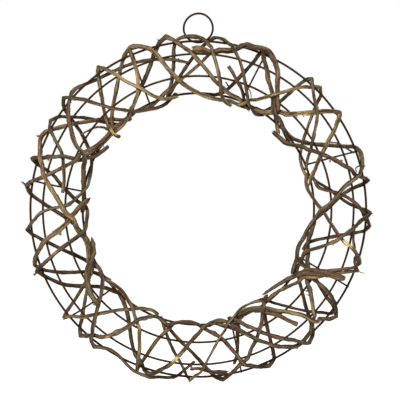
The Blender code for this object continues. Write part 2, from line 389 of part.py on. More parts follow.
class Strands:
    """Every centre line in one array, with its segments, radii and what holds it."""

    def __init__(self):
        self.points, self.radii, self.fixed, self.owner, self.order = [], [], [], [], []
        self.segments, self.spans = [], []

    def add(self, line, radii, fixed, closed=False):
        first = sum(len(part) for part in self.points)
        count = len(line)
        self.points.append(np.asarray(line, float))
        self.radii.append(np.broadcast_to(radii, (count,)).astype(float))
        self.fixed.append(np.full(count, fixed))
        name = len(self.spans)
        self.spans.append((first, first + count))
        ends = count if closed else count - 1
        for i in range(ends):
            self.segments.append((first + i, first + (i + 1) % count))
            self.owner.append(name)
            self.order.append(i)

    def finish(self):
        self.points = np.vstack(self.points)
        self.radii = np.concatenate(self.radii)
        self.fixed = np.concatenate(self.fixed)
        self.segments = np.array(self.segments)
        self.owner = np.array(self.owner)
        self.order = np.array(self.order)

    def near_pairs(self, reach):
        """Pairs of segments that could touch, leaving out neighbours along one strand."""
        start, end = self.points[self.segments[:, 0]], self.points[self.segments[:, 1]]
        middle = (start + end) / 2
        half = np.linalg.norm(end - start, axis=1) / 2
        distance = np.linalg.norm(middle[:, None] - middle[None], axis=2)
        close = distance < half[:, None] + half[None] + reach
        held = self.fixed[self.segments[:, 0]]
        close &= ~(held[:, None] & held[None])
        close &= ~((self.owner[:, None] == self.owner[None])
                   & (np.abs(self.order[:, None] - self.order[None]) < NEIGHBOURS))
        first, second = np.nonzero(np.triu(close, 1))
        return first, second

    def part_touching(self, pairs, clearance):
        """Push apart the pairs of segments that stand too close. Returns the worst shortfall."""
        first, second = pairs
        a, b = self.segments[first].T
        c, d = self.segments[second].T
        p = self.points
        along_a, along_b, between = p[b] - p[a], p[d] - p[c], p[a] - p[c]
        aa, bb = (along_a ** 2).sum(1), (along_b ** 2).sum(1)
        ab, ar, br = (along_a * along_b).sum(1), (along_a * between).sum(1), (along_b * between).sum(1)
        cross = aa * bb - ab * ab
        s = np.where(cross > TINY, (ab * br - ar * bb) / np.maximum(cross, TINY), 0.5).clip(0, 1)
        t = ((ab * s + br) / bb).clip(0, 1)
        s = ((ab * t - ar) / aa).clip(0, 1)
        gap = between + s[:, None] * along_a - t[:, None] * along_b
        distance = np.linalg.norm(gap, axis=1)
        reach = (self.radii[a] * (1 - s) + self.radii[b] * s + self.radii[c] * (1 - t)
                 + self.radii[d] * t + clearance)
        short = reach - distance
        hit = short > 0
        if not hit.any():
            return 0.0
        direction = gap[hit] / np.maximum(distance[hit], TINY)[:, None]
        ends = np.stack([a[hit], b[hit], c[hit], d[hit]])
        weights = np.stack([1 - s[hit], s[hit], -(1 - t[hit]), -t[hit]])
        weights = weights * ~self.fixed[ends]
        scale = short[hit] / np.maximum((weights ** 2).sum(0), TINY)
        push = np.zeros_like(p)
        load = np.zeros(len(p))
        for end, weight in zip(ends, weights):
            np.add.at(push, end, (weight * scale)[:, None] * direction)
            np.add.at(load, end, np.abs(weight) > TINY)
        self.points = p + push / np.maximum(load, 1)[:, None]
        return float(short.max())


def settle(wires, stems):
    """Draw the stems tight round the wires, each kept on its route and clear of all the others."""
    strands = Strands()
    for line, radius, closed in wires:
        strands.add(line, radius, True, closed)
    routes = []
    for number, (_, _, butt, tip, route) in enumerate(stems):
        stations = []
        for clock, across, layer in route:
            lift = starting_lift(across, layer) + STAGGER * (number % STAGGER_STEPS) * (1 if layer > 0 else -1)
            stations.append(place(clock, across, lift) + (across, layer))
        line = smooth_route(stations, STEM_STEP)
        routes.append(line)
        strands.add(line[:, :3], np.linspace(butt, tip, len(line)), False)
    strands.finish()

    free = np.flatnonzero(~strands.fixed)
    stations = np.vstack(routes)
    flat = stations[:, :2] / (1 - LEAN * stations[:, 2:3])     # the route, as it lies at no lift
    across, layer = stations[:, 3], stations[:, 4]
    front_lift, back_lift = profile(FRONT, across), profile(BACK, across)
    tight = back_lift + (front_lift - back_lift) * ((layer + 1) / 2).clip(0, 1)
    between_ends = [range(first + 1, last - 1) for first, last in strands.spans[len(wires):]]
    inner = np.concatenate([np.array(span) for span in between_ends])

    for turn in range(ROUNDS):
        if turn % ROUNDS_PER_PAIRING == 0:
            pairs = strands.near_pairs(PAIRING_REACH)
        points = strands.points
        points[free, 2] += TENSION * (tight - points[free, 2])
        points[free, :2] += HOLD * (flat * (1 - LEAN * points[free, 2:3]) - points[free, :2])
        bend = (points[inner - 1] + points[inner + 1]) / 2 - points[inner]
        points[inner] += bend * np.array(STIFFNESS_BY_AXIS) * STIFFNESS
        strands.points = points
        strands.part_touching(pairs, CLEARANCE)
        strands.part_touching(pairs, CLEARANCE)
    for turn in range(FINAL_ROUNDS):
        if turn % FINAL_ROUNDS_PER_PAIRING == 0:
            pairs = strands.near_pairs(PAIRING_REACH)
        if strands.part_touching(pairs, CLEARANCE) < DONE:
            break
    return [strands.points[first:last] for first, last in strands.spans[len(wires):]]


# Meshes

def sweep(line, radii, closed=False):
    """A tube of SIDES sides along a line of (x, z, lift) points, with flat ends unless it is closed."""
    points = [Vector((x, -lift, z)) * MM for x, z, lift in line]
    count = len(points)
    mesh = bmesh.new()
    rings = []
    side = None
    for i, point in enumerate(points):
        before = points[i - 1] if i or closed else point
        after = points[(i + 1) % count] if i < count - 1 or closed else point
        tangent = (after - before).normalized()
        if side is None:
            side = tangent.cross(Vector((0, 1, 0))).normalized()
        side = (side - tangent * side.dot(tangent)).normalized()
        other = tangent.cross(side)
        ring = []
        for k in range(SIDES):
            angle = 2 * math.pi * k / SIDES
            outward = side * math.cos(angle) + other * math.sin(angle)
            ring.append(mesh.verts.new(point + outward * radii[i] * MM))
        rings.append(ring)
    for i in range(count if closed else count - 1):
        ring, following = rings[i], rings[(i + 1) % count]
        for k in range(SIDES):
            n = (k + 1) % SIDES
            mesh.faces.new((ring[k], ring[n], following[n], following[k]))
    if not closed:
        mesh.faces.new(list(reversed(rings[0])))
        mesh.faces.new(rings[-1])
    bmesh.ops.recalc_face_normals(mesh, faces=mesh.faces)
    return mesh


def principled(name, colour, finish):
    material = bpy.data.materials.new(name)
    material.use_nodes = True
    shader = material.node_tree.nodes["Principled BSDF"]
    roughness, metallic = finish
    shader.inputs["Base Color"].default_value = (*colour, 1.0)
    shader.inputs["Roughness"].default_value = roughness
    shader.inputs["Metallic"].default_value = metallic
    material.diffuse_color = (*colour, 1.0)
    return material


def add_part(name, mesh, material, parent):
    data = bpy.data.meshes.new(name)
    mesh.to_mesh(data)
    mesh.free()
    data.materials.append(material)
    data.shade_smooth()
    part = bpy.data.objects.new(name, data)
    part.parent = parent
    bpy.context.collection.objects.link(part)


def add_wire(name, line, radius, closed, parent):
    mesh = sweep(line, [radius] * len(line), closed)
    add_part(name, mesh, principled(name + "_paint", WIRE_BROWN, WIRE_FINISH), parent)


def main():
    for old in list(bpy.data.objects):
        bpy.data.objects.remove(old, do_unlink=True)

    # The empty stands at the middle of the wreath, in the plane of the inner and outer rings.
    middle = bpy.data.objects.new("wreath_middle", None)
    hook_height = LOOP_HEIGHT + LOOP_RADIUS - LOOP_WIRE
    middle.location = Vector((0, -(RING_WIRE + LOOP_WIRE + GAP), -hook_height)) * MM
    bpy.context.collection.objects.link(middle)

    low, high = RAISED_ACROSS
    rings = (("ring_outer", 1.0, 0.0), ("ring_raised_outer", high, RAISED_LIFT),
             ("ring_raised_inner", low, RAISED_LIFT), ("ring_inner", 0.0, 0.0))
    wires = [(name, ring_line(across, lift), RING_WIRE, True) for name, across, lift in rings]
    for number, (outer_clock, inner_clock) in enumerate(STRUTS, start=1):
        wires.append((f"strut_{number}", strut_line(outer_clock, inner_clock), STRUT_WIRE, False))
    wires.append(("hanging_loop", loop_line(), LOOP_WIRE, True))
    for name, line, radius, closed in wires:
        add_wire(name, line, radius, closed, middle)

    lines = settle([wire[1:] for wire in wires], STEMS)
    for (name, bark, butt, tip, _), line in zip(STEMS, lines):
        mesh = sweep(line, np.linspace(butt, tip, len(line)))
        add_part(name, mesh, principled(name + "_bark", BARK[bark], BARK_FINISH), middle)


main()
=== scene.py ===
"""A wreath frame: woody vines coiled round a wire ring frame, seen square on against white.

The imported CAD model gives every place. Each vine's middle line is read from its own solid, and the rough
bark, the loose strips, the knots and the broken ends are built round that line. Lengths are in
millimetres up to the point where a mesh is made.
"""
import json
import math

import bpy
import numpy as np
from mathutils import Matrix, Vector


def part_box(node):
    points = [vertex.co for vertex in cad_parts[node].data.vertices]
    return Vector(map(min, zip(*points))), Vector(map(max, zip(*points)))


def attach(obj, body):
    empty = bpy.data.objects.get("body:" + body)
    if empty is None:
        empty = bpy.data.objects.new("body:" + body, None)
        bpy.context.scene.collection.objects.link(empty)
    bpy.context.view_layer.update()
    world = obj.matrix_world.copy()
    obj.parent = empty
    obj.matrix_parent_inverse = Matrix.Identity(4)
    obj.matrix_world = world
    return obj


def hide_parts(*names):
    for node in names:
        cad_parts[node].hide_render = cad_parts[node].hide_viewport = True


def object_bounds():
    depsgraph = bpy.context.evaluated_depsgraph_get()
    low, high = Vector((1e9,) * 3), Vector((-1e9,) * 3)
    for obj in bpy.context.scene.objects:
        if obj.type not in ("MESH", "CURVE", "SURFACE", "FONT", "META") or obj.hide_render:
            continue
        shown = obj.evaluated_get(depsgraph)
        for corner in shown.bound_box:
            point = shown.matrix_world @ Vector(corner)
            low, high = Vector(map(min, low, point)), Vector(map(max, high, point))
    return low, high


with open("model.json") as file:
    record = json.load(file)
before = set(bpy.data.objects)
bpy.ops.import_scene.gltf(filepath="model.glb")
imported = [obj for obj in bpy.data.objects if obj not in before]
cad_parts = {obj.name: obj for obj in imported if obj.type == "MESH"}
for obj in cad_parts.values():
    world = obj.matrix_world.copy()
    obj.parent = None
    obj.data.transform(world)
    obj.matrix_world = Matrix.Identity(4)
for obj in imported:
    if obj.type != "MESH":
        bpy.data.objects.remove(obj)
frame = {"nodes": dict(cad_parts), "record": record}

cad_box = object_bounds()
MM = 0.001
TURN = 2 * math.pi

# Places, from the CAD model

RING_WIRE = 1.0      # radius of the rings' wire
STRUT_WIRE = 0.8
LOOP_WIRE = 0.9
LEAN = 1.0 / 1120.0  # the trough narrows towards the middle by this share per mm of lift


def size_of(node):
    """A node's lowest and highest corner in millimetres."""
    return np.array(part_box(node)) / MM


def ring_radius(node):
    low, high = size_of(node)
    return (high[2] - low[2]) / 2 - RING_WIRE


low, high = size_of("ring_outer")
MIDDLE = (low + high) / 2  # middle of the wreath, in the plane of the outer and inner rings
OUTER_RADIUS = ring_radius("ring_outer")
INNER_RADIUS = ring_radius("ring_inner")
low, high = size_of("ring_raised_outer")
RAISED_LIFT = MIDDLE[1] - (low[1] + high[1]) / 2


def place(clock, across, lift):
    """The point at a clock angle, across from the inner ring at 0 to the outer at 1, and a lift forward."""
    radius = (INNER_RADIUS + across * (OUTER_RADIUS - INNER_RADIUS)) * (1 - LEAN * lift)
    angle = math.radians(clock)
    return MIDDLE + np.array([radius * math.cos(angle), -lift, radius * math.sin(angle)])


def lift_of(points):
    """How far points lie in front of the plane of the outer and inner rings."""
    return MIDDLE[1] - points[..., 1]


# Lines

CAP_CORNERS = 5     # every section of a swept CAD solid is a pentagon
FLAT = 0.02         # mm out of an end cap's plane that still counts as on it
CURVE_POINTS = 14   # points read from a curve between two given ones
FORWARD = np.array([0.0, -1.0, 0.0])
RIGHT = np.array([1.0, 0.0, 0.0])
NEARLY_ALONG = 0.9  # cosine at which a line starts too near FORWARD to measure its sides from it


def around(count):
    """Evenly spaced angles, in radians."""
    return np.arange(count) * TURN / count


def unit(vectors):
    return vectors / np.maximum(np.linalg.norm(vectors, axis=-1, keepdims=True), 1e-9)


def spine(node):
    """Middle line and radii of a swept CAD solid, section by section from one end."""
    mesh = frame["nodes"][node].data
    corners = np.array([vertex.co for vertex in mesh.vertices]) / MM
    corners, same = np.unique(np.round(corners, 3), axis=0, return_inverse=True)
    same = same.ravel()
    beside = [set() for _ in corners]
    for edge in mesh.edges:
        a, b = (int(same[v]) for v in edge.vertices)
        if a != b:
            beside[a].add(b)
            beside[b].add(a)

    def spread(start):
        """The points in layers, by how many edges lead to them from the start."""
        layers = [set(start)]
        seen = set(start)
        while True:
            layer = {after for before in layers[-1] for after in beside[before]} - seen
            if not layer:
                return layers
            seen |= layer
            layers.append(layer)

    for face in mesh.polygons:
        ids = [int(same[v]) for v in face.vertices]
        a, b, c = corners[ids[:3]]
        normal = unit(np.cross(b - a, c - a))
        near = sorted(set().union(*spread(ids)[:3]))
        flat = [i for i in near if abs(np.dot(corners[i] - a, normal)) < FLAT]
        if len(flat) != CAP_CORNERS:
            continue
        layers = spread(flat)
        if all(len(layer) == CAP_CORNERS for layer in layers):
            break
    sections = [corners[sorted(layer)] for layer in layers]
    line = np.array([section.mean(0) for section in sections])
    radii = np.array([np.linalg.norm(section - middle, axis=1).mean()
                      for section, middle in zip(sections, line)])
    return line, radii


def smooth_line(points, step):
    """Points an even step apart along a Catmull-Rom curve through the given ones."""
    points = np.asarray(points, float)
    ends = np.vstack([2 * points[0] - points[1], points, 2 * points[-1] - points[-2]])
    share = np.linspace(0, 1, CURVE_POINTS, endpoint=False)[:, None]
    pieces = []
    for i in range(1, len(ends) - 2):
        a, b, c, d = ends[i - 1:i + 3]
        pieces.append(b + 0.5 * share * (c - a + share * (2 * a - 5 * b + 4 * c - d
                                                         + share * (3 * (b - c) + d - a))))
    fine = np.vstack(pieces + [points[-1:]])
    along = np.append(0, np.cumsum(np.linalg.norm(np.diff(fine[:, :3], axis=0), axis=1)))
    count = max(int(round(along[-1] / step)), 3)
    marks = np.linspace(0, along[-1], count + 1)
    return np.column_stack([np.interp(marks, along, fine[:, axis]) for axis in range(fine.shape[1])])


class Line:
    """A middle line with its own frame at each point: tangent, side and other, and the length so far."""

    def __init__(self, points, closed=False):
        self.points = np.asarray(points, float)
        if closed:
            steps = np.roll(self.points, -1, axis=0) - np.roll(self.points, 1, axis=0)
        else:
            steps = np.gradient(self.points, axis=0)
        self.tangent = unit(steps)
        reference = RIGHT if abs(self.tangent[0] @ FORWARD) > NEARLY_ALONG else FORWARD
        side = unit(reference - self.tangent[0] * (self.tangent[0] @ reference))
        sides = []
        for tangent in self.tangent:
            side = unit(side - tangent * (tangent @ side))
            sides.append(side)
        self.side = np.array(sides)
        self.other = np.cross(self.tangent, self.side)
        self.along = np.append(0, np.cumsum(np.linalg.norm(np.diff(self.points, axis=0), axis=1)))

    def outward(self, angles):
        """Unit vectors away from the line, one row for each point, at the given angles about it."""
        angles = np.asarray(angles, float)
        if angles.ndim == 1:
            angles = np.broadcast_to(angles, (len(self.points), len(angles)))
        return (self.side[:, None] * np.cos(angles)[..., None]
                + self.other[:, None] * np.sin(angles)[..., None])

    def rings(self, angles, radius):
        """A ring of points round each point of the line, at the given angles and radii."""
        return self.points[:, None] + self.outward(angles) * radius[..., None]

    def nearest(self, point):
        return int(np.linalg.norm(self.points - point, axis=1).argmin())


def wander(rng, along, length):
    """A smooth random line between -1 and 1 that changes over about the given length."""
    knots = np.arange(along[0] - length, along[-1] + 2 * length, length)
    values = rng.uniform(-1, 1, len(knots))
    where = np.interp(along, knots, np.arange(len(knots)))
    left = np.floor(where).astype(int)
    share = where - left
    share = share * share * (3 - 2 * share)
    right = np.minimum(left + 1, len(knots) - 1)
    return values[left] * (1 - share) + values[right] * share


# Meshes

def add_object(name, data):
    thing = bpy.data.objects.new(name, data)
    bpy.context.scene.collection.objects.link(thing)
    return thing


class Skin:
    """Points, faces and paint of one piece, gathered tube by tube.

    grain holds each point's place on the straightened stem, for streaks that follow it. paint holds the
    height of the bark, how far it is peeled, how much cut wood shows, and the shade: painted shade that
    darkens the bark towards the back, together with its own lighter or darker tone.
    """

    def __init__(self):
        self.points, self.faces, self.grain, self.paint = [], [], [], []
        self.count = 0

    def wall(self, rings, grain, paint, closed=False):
        """Adds rings of points (n, sides, 3) joined by faces, and returns the points' numbers."""
        steps, sides = rings.shape[:2]
        index = self.count + np.arange(steps * sides).reshape(steps, sides)
        here = index if closed else index[:-1]
        further = np.roll(index, -1, axis=0) if closed else index[1:]
        corners = [here, np.roll(here, -1, axis=1), np.roll(further, -1, axis=1), further]
        self.faces.extend(np.stack(corners, axis=-1).reshape(-1, 4).tolist())
        self.points.append(rings.reshape(-1, 3))
        self.grain.append(grain.reshape(-1, 3))
        self.paint.append(paint.reshape(-1, 4))
        self.count += steps * sides
        return index

    def tube(self, rings, grain, paint, dip=0.0):
        """Adds a closed tube, with a fan over each end that dips so many mm inwards."""
        index = self.wall(rings, grain, paint)
        following = np.roll(index, -1, axis=1)
        sides = index.shape[1]
        for ring, inner in ((0, 1), (-1, -2)):
            hub = rings[ring].mean(0)
            inward = rings[inner].mean(0) - hub
            self.points.append((hub + unit(inward) * dip)[None])
            self.grain.append(grain[ring].mean(0)[None])
            self.paint.append(paint[ring].mean(0)[None])
            for k in range(sides):
                a, b = index[ring, k], following[ring, k]
                self.faces.append([self.count, b, a] if ring == 0 else [self.count, a, b])
            self.count += 1

    def make(self, name, node, material):
        """Makes the piece, which rides on the root body and stands for its CAD node."""
        data = bpy.data.meshes.new(name)
        data.from_pydata((np.vstack(self.points) * MM).tolist(), [], self.faces)
        grain = data.attributes.new("grain", "FLOAT_VECTOR", "POINT")
        grain.data.foreach_set("vector", np.vstack(self.grain).astype(np.float32).ravel())
        paint = data.attributes.new("paint", "FLOAT_COLOR", "POINT")
        paint.data.foreach_set("color", np.vstack(self.paint).astype(np.float32).ravel())
        data.shade_smooth()
        data.materials.append(material)
        piece = add_object(name, data)
        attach(piece, "root")
        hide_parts(node)


# Materials

class Graph:
    """A material's node tree, with short calls for the nodes used here."""

    def __init__(self, name, colour):
        self.material = bpy.data.materials.new(name)
        self.material.use_nodes = True
        self.material.diffuse_color = (*colour, 1.0)
        self.tree = self.material.node_tree
        self.shader = self.tree.nodes["Principled BSDF"]

    def node(self, kind, inputs=(), **settings):
        made = self.tree.nodes.new("ShaderNode" + kind)
        for name, value in settings.items():
            setattr(made, name, value)
        for socket, value in dict(inputs).items():
            self.feed(made.inputs[socket], value)
        return made

    def feed(self, socket, value):
        if isinstance(value, bpy.types.NodeSocket):
            self.tree.links.new(value, socket)
        else:
            socket.default_value = value

    def attribute(self, name, output):
        return self.node("Attribute", attribute_name=name).outputs[output]

    def noise(self, vector, stretch, scale, detail, roughness):
        where = self.node("Mapping", {"Vector": vector, "Scale": stretch}).outputs["Vector"]
        inputs = {"Vector": where, "Scale": scale, "Detail": detail, "Roughness": roughness}
        return self.node("TexNoise", inputs).outputs["Fac"]

    def product(self, a, b):
        return self.node("Math", {0: a, 1: b}, operation="MULTIPLY").outputs[0]

    def sum(self, *parts):
        """The parts added together, each times its share."""
        total = 0.0
        for value, share in parts:
            inputs = {0: value, 1: share, 2: total}
            total = self.node("Math", inputs, operation="MULTIPLY_ADD").outputs[0]
        return total

    def span(self, value, low, high, to_low=0.0, to_high=1.0):
        inputs = {"Value": value, "From Min": low, "From Max": high, "To Min": to_low, "To Max": to_high}
        return self.node("MapRange", inputs).outputs["Result"]

    def ramp(self, value, *stops):
        made = self.node("ValToRGB", {"Fac": value})
        elements = made.color_ramp.elements
        while len(elements) < len(stops):
            elements.new(1.0)
        for element, (position, colour) in zip(elements, stops):
            element.position = position
            element.color = (*colour, 1.0)
        return made.outputs["Color"]

    def shades(self, value, colour, stops):
        """A ramp from dark to light through shares of one colour."""
        return self.ramp(value, *((position, times(colour, share)) for position, share in stops))

    def mix(self, share, a, b, blend="MIX"):
        made = self.node("Mix", data_type="RGBA", blend_type=blend)
        self.feed(made.inputs[0], share)
        for socket, value in ((made.inputs[6], a), (made.inputs[7], b)):
            self.feed(socket, value if isinstance(value, bpy.types.NodeSocket) else (*value, 1.0))
        return made.outputs[2]

    def bump(self, height, distance, strength):
        inputs = {"Height": height, "Distance": distance, "Strength": strength}
        return self.node("Bump", inputs).outputs["Normal"]

    def surface(self, inputs):
        """Gives the shader its inputs, and returns the finished material."""
        for socket, value in inputs.items():
            self.feed(self.shader.inputs[socket], value)
        return self.material


def times(colour, share):
    """A colour that many times as bright."""
    return tuple(min(channel * share, 1.0) for channel in colour)


FRESH = (0.95, 0.66, 0.25)              # wood just bared
PEELED = (0.46, 0.29, 0.11)
PEELED_DEEP = (0.18, 0.095, 0.032)
CUT_WOOD = (0.30, 0.19, 0.09)
BARK = {
    "tan": ((0.265, 0.180, 0.090), (0.158, 0.097, 0.049)),
    "olive": ((0.174, 0.132, 0.072), (0.120, 0.077, 0.041)),
    "brown": ((0.156, 0.096, 0.053), (0.174, 0.116, 0.064)),
    "rust": ((0.168, 0.092, 0.050), (0.128, 0.082, 0.047)),
    "dark": ((0.108, 0.070, 0.040), (0.142, 0.092, 0.052)),
    "pale": ((0.255, 0.180, 0.098), (0.175, 0.112, 0.057)),
}
FIRST_TONES = ((0.0, 0.06), (0.30, 0.34), (0.56, 1.0), (1.0, 2.0))      # tone, and share of the colour
OTHER_TONES = ((0.0, 0.06), (0.32, 0.36), (0.60, 1.0), (1.0, 2.0))
LIGHTEST, DARKEST = 1.80, 0.20          # share of the bark's colour where its shade, painted shade together with its own tone, is 1 and 0
BARK_SHINE, BARK_RELIEF = 0.12, 0.0005  # specular level, and depth of the fibres in metres
# Noise: its scale across and along the grain, then size, detail and roughness
EVEN = (1.0, 1.0, 1.0)
STREAKS = (1.0, 1.0, 0.06), 0.8, 3.0, 0.55
FIBRES = (1.0, 1.0, 0.045), 3.4, 3.0, 0.6
BLOTCHES = (0.3, 0.3, 0.06), 1.0, 3.0, 0.5
SPECKS = (1.0, 1.0, 0.6), 2.6, 2.0, 0.5
RUST = (1.0, 1.0, 0.25), 0.7, 4.0, 0.6
GRIT = EVEN, 4.0, 3.0, 0.6
TOOTH = EVEN, 60.0, 3.0, 0.55
WIRE_PAINT = (0.036, 0.0175, 0.0042)
WIRE_RUST = (0.075, 0.034, 0.008)
WIRE_GRIT = (0.066, 0.036, 0.011)
WIRE_SHINE, WIRE_RELIEF = 0.08, 0.0002
PAPER = (0.9, 0.9, 0.9)
PAPER_GLOW = 0.9                        # light that the camera sees coming from the paper itself


def bark_material(name, colour, second):
    """Dull fibrous bark in two tones, dark in its furrows, peeled or cut to the wood where so painted, and
    darkened by painted shade towards the back.
    """
    graph = Graph("bark_" + name, colour)
    grain = graph.attribute("grain", "Vector")
    paint = graph.attribute("paint", "Color")
    parts = graph.node("SeparateColor", {"Color": paint}).outputs
    height, peel, wood = parts["Red"], parts["Green"], parts["Blue"]
    shade = graph.attribute("paint", "Alpha")

    streaks = graph.span(graph.noise(grain, *STREAKS), 0.41, 0.59)
    fibres = graph.span(graph.noise(grain, *FIBRES), 0.33, 0.67)
    blotches = graph.span(graph.noise(grain, *BLOTCHES), 0.42, 0.60)
    specks = graph.noise(grain, *SPECKS)

    tone = graph.sum((height, 0.38), (streaks, 0.34), (fibres, 0.28))
    first = graph.shades(tone, colour, FIRST_TONES)
    other = graph.shades(tone, second, OTHER_TONES)
    bark = graph.mix(blotches, first, other)
    bark = graph.mix(graph.span(specks, 0.60, 0.74, 0.0, 0.8), bark, times(colour, 0.2))
    peeled = graph.ramp(graph.sum((fibres, 0.5), (streaks, 0.5)), (0.1, PEELED_DEEP), (0.7, PEELED))
    peeled = graph.mix(graph.span(peel, 0.7, 1.0), peeled, FRESH)
    edges = graph.span(graph.sum((streaks, 0.7), (specks, 0.6)), 0.35, 0.65)
    bark = graph.mix(graph.product(peel, edges), bark, peeled)
    cut = graph.ramp(fibres, (0.1, times(CUT_WOOD, 0.4)), (0.8, CUT_WOOD))
    bark = graph.mix(wood, bark, cut)
    # painted shade: the shade channel darkens the bark towards the back, along with each stem's own tone
    bark = graph.mix(1.0, bark, graph.span(shade, 0.0, 1.0, DARKEST, LIGHTEST), "MULTIPLY")
    rough = graph.span(tone, 0.0, 1.0, 0.95, 0.75)
    relief = graph.bump(graph.sum((streaks, 0.6), (fibres, 0.4)), BARK_RELIEF, 0.8)
    return graph.surface({"Base Color": bark, "Roughness": rough, "Specular IOR Level": BARK_SHINE,
                          "Normal": relief})


def wire_material():
    """Dark brown paint on iron wire, dull and a little rusty."""
    graph = Graph("wire_paint", WIRE_PAINT)
    grain = graph.attribute("grain", "Vector")
    rust = graph.noise(grain, *RUST)
    grit = graph.noise(grain, *GRIT)
    colour = graph.ramp(rust, (0.30, times(WIRE_PAINT, 0.5)), (0.50, WIRE_PAINT), (0.68, WIRE_RUST))
    colour = graph.mix(graph.span(grit, 0.55, 0.75, 0.0, 0.4), colour, WIRE_GRIT)
    rough = graph.span(rust, 0.3, 0.7, 0.5, 0.8)
    return graph.surface({"Base Color": colour, "Roughness": rough, "Specular IOR Level": WIRE_SHINE,
                          "Normal": graph.bump(grit, WIRE_RELIEF, 0.5)})


def paper_material():
    """Matt white paper, lit from within as seen by the camera, so that the front view has no horizon."""
    graph = Graph("pale_floor", PAPER)
    tooth = graph.noise(graph.node("TexCoord").outputs["Object"], *TOOTH)
    paper = graph.ramp(tooth, (0.3, (0.90, 0.90, 0.89)), (0.7, (0.93, 0.93, 0.92)))
    seen = graph.node("LightPath").outputs["Is Camera Ray"]
    return graph.surface({"Base Color": paper, "Roughness": 0.9, "Emission Color": (1.0, 1.0, 1.0, 1.0),
                          "Emission Strength": graph.product(seen, PAPER_GLOW)})


BARKS = {"bark_" + name: bark_material(name, *colours) for name, colours in BARK.items()}
WIRE = wire_material()


# Bark

STEM_STEP = 1.25   # mm between a vine's rings of points
STEM_SIDES = 18
FLANK = 8          # steps on either side of a turn that are straightened
LEAST_TURN = 0.75  # cosine of the least turn that comes to a corner
TIP = 0.7          # how far the corner then stands out, in mm
STRAIGHT = 0.6     # how straight its flanks become, from 0 to 1
STRAY, STRAY_LENGTH = 0.2, 22           # mm that a vine strays from the CAD's line, and over what length
FADE_STEPS = 8     # it strays less and less over this many steps towards either end
GIRTH = 1.04       # the bark's radius against the CAD's
GIRTH_CHANGES = ((18, 0.06), (6, 0.06))           # length in mm, and share of the radius
LOBES = ((2, 0.08), (3, 0.065), (5, 0.05))        # waves round the vine, and share of the radius
LOBE_TWIST, LOBE_LENGTH = 1.6, 30       # how far the lobes turn as they run along, and over what length
RIDGES = ((6, 0.055), (2, 0.035))       # length in steps, and share of the radius
RIDGE_TONE, LOBE_TONE = 2.6, 2.2        # how strongly the two show in the bark's painted height
KNOT_ROUGH = 0.25  # how uneven a knot is all round, as a share of its height
BARK_DEPTH = 0.16  # share of the radius that is gone where the bark is
BARE_EDGE = 1.5    # mm over which the bark ends at a bare patch
BARE_TURN, BARE_SIDE = 2.2, 0.9         # how soon it ends round the vine, and how much shows at its side
POINT = 0.12       # share of the radius left at the tip of a pointed end
CUT_EDGE = 0.86    # share of the radius left at a cut end, for a worn edge
# A broken end, at each point round it: how far it sticks out and the share of that one ring further in,
# then the share of the radius left, and how much wood shows
JAG, JAG_INNER = (-0.3, 1.0), 0.3
SNAP_GIRTH = 0.45, 1.0
SNAP_WOOD = 0.2, 1.0
FRONT_LIFT, BACK_LIFT = 24.0, -4.0      # lift at which a stem is fully lit, and fully in the shade
PLAIN_SHADE = 0.55
BACK_SHADE = 0.18  # painted shade: how much darker the stems at the back are
PATCHES = 0.13     # how much a stem's shade changes along it
PATCH_LENGTHS, PATCH_SHARE = (14, 5), 0.6
PALER_BY, DARKER_BY = 0.14, 0.11
PALER = (1, 5, 7, 10, 18, 30, 37, 41, 42)         # the vines' numbers
DARKER = (3, 6, 9, 12, 22, 34, 35)


def grain_of(line, radius, angles):
    """Each point's place on the straightened stem."""
    flat = np.broadcast_to(angles, radius.shape)
    down = np.broadcast_to(line.along[:, None], radius.shape)
    return np.stack([radius * np.cos(flat), radius * np.sin(flat), down], axis=-1)


def shade_of(points, change=0.0):
    """How light the bark is: painted shade that darkens it towards the back, with a change of tone of its
    own.
    """
    back = np.clip((FRONT_LIFT - lift_of(points)) / (FRONT_LIFT - BACK_LIFT), 0, 1)
    return np.clip(PLAIN_SHADE - BACK_SHADE * back + change, 0, 1)


def ridges_along(rng, steps, length):
    """Random ridges that run along a stem, each about so many steps long."""
    rough = rng.normal(0, 1, (steps + 4 * length, STEM_SIDES))
    kernel = np.hanning(2 * length + 1)
    kernel /= np.sqrt((kernel ** 2).sum())
    smooth = np.array([np.convolve(column, kernel, mode="same") for column in rough.T]).T
    return smooth[2 * length:2 * length + steps]


def sharpen(points):
    """Brings each tight turn over the outer or inner ring to a corner, by straightening its flanks."""
    points = points.copy()
    flat = points[:, [0, 2]]
    away = flat - MIDDLE[[0, 2]]
    across = np.linalg.norm(away, axis=1) / (1 - LEAN * lift_of(points))
    across = (across - INNER_RADIUS) / (OUTER_RADIUS - INNER_RADIUS)
    for way in (1, -1):
        for at in range(FLANK, len(points) - FLANK):
            near = way * across[at - FLANK:at + FLANK + 1]
            beyond = across[at] > 1 if way > 0 else across[at] < 0
            if not beyond or near.argmax() != FLANK:
                continue
            before, after = unit(flat[at] - flat[at - FLANK]), unit(flat[at + FLANK] - flat[at])
            if before @ after > LEAST_TURN:
                continue
            tip = flat[at] + way * unit(away[at]) * TIP
            share = np.linspace(0, 1, FLANK + 1)[:, None]
            for end in (-FLANK, FLANK):
                ids = at + np.arange(0, end + np.sign(end), np.sign(end))
                straight = tip + share * (flat[at + end] - tip)
                points[ids[:, None], [0, 2]] += STRAIGHT * (straight - flat[ids])
    return points


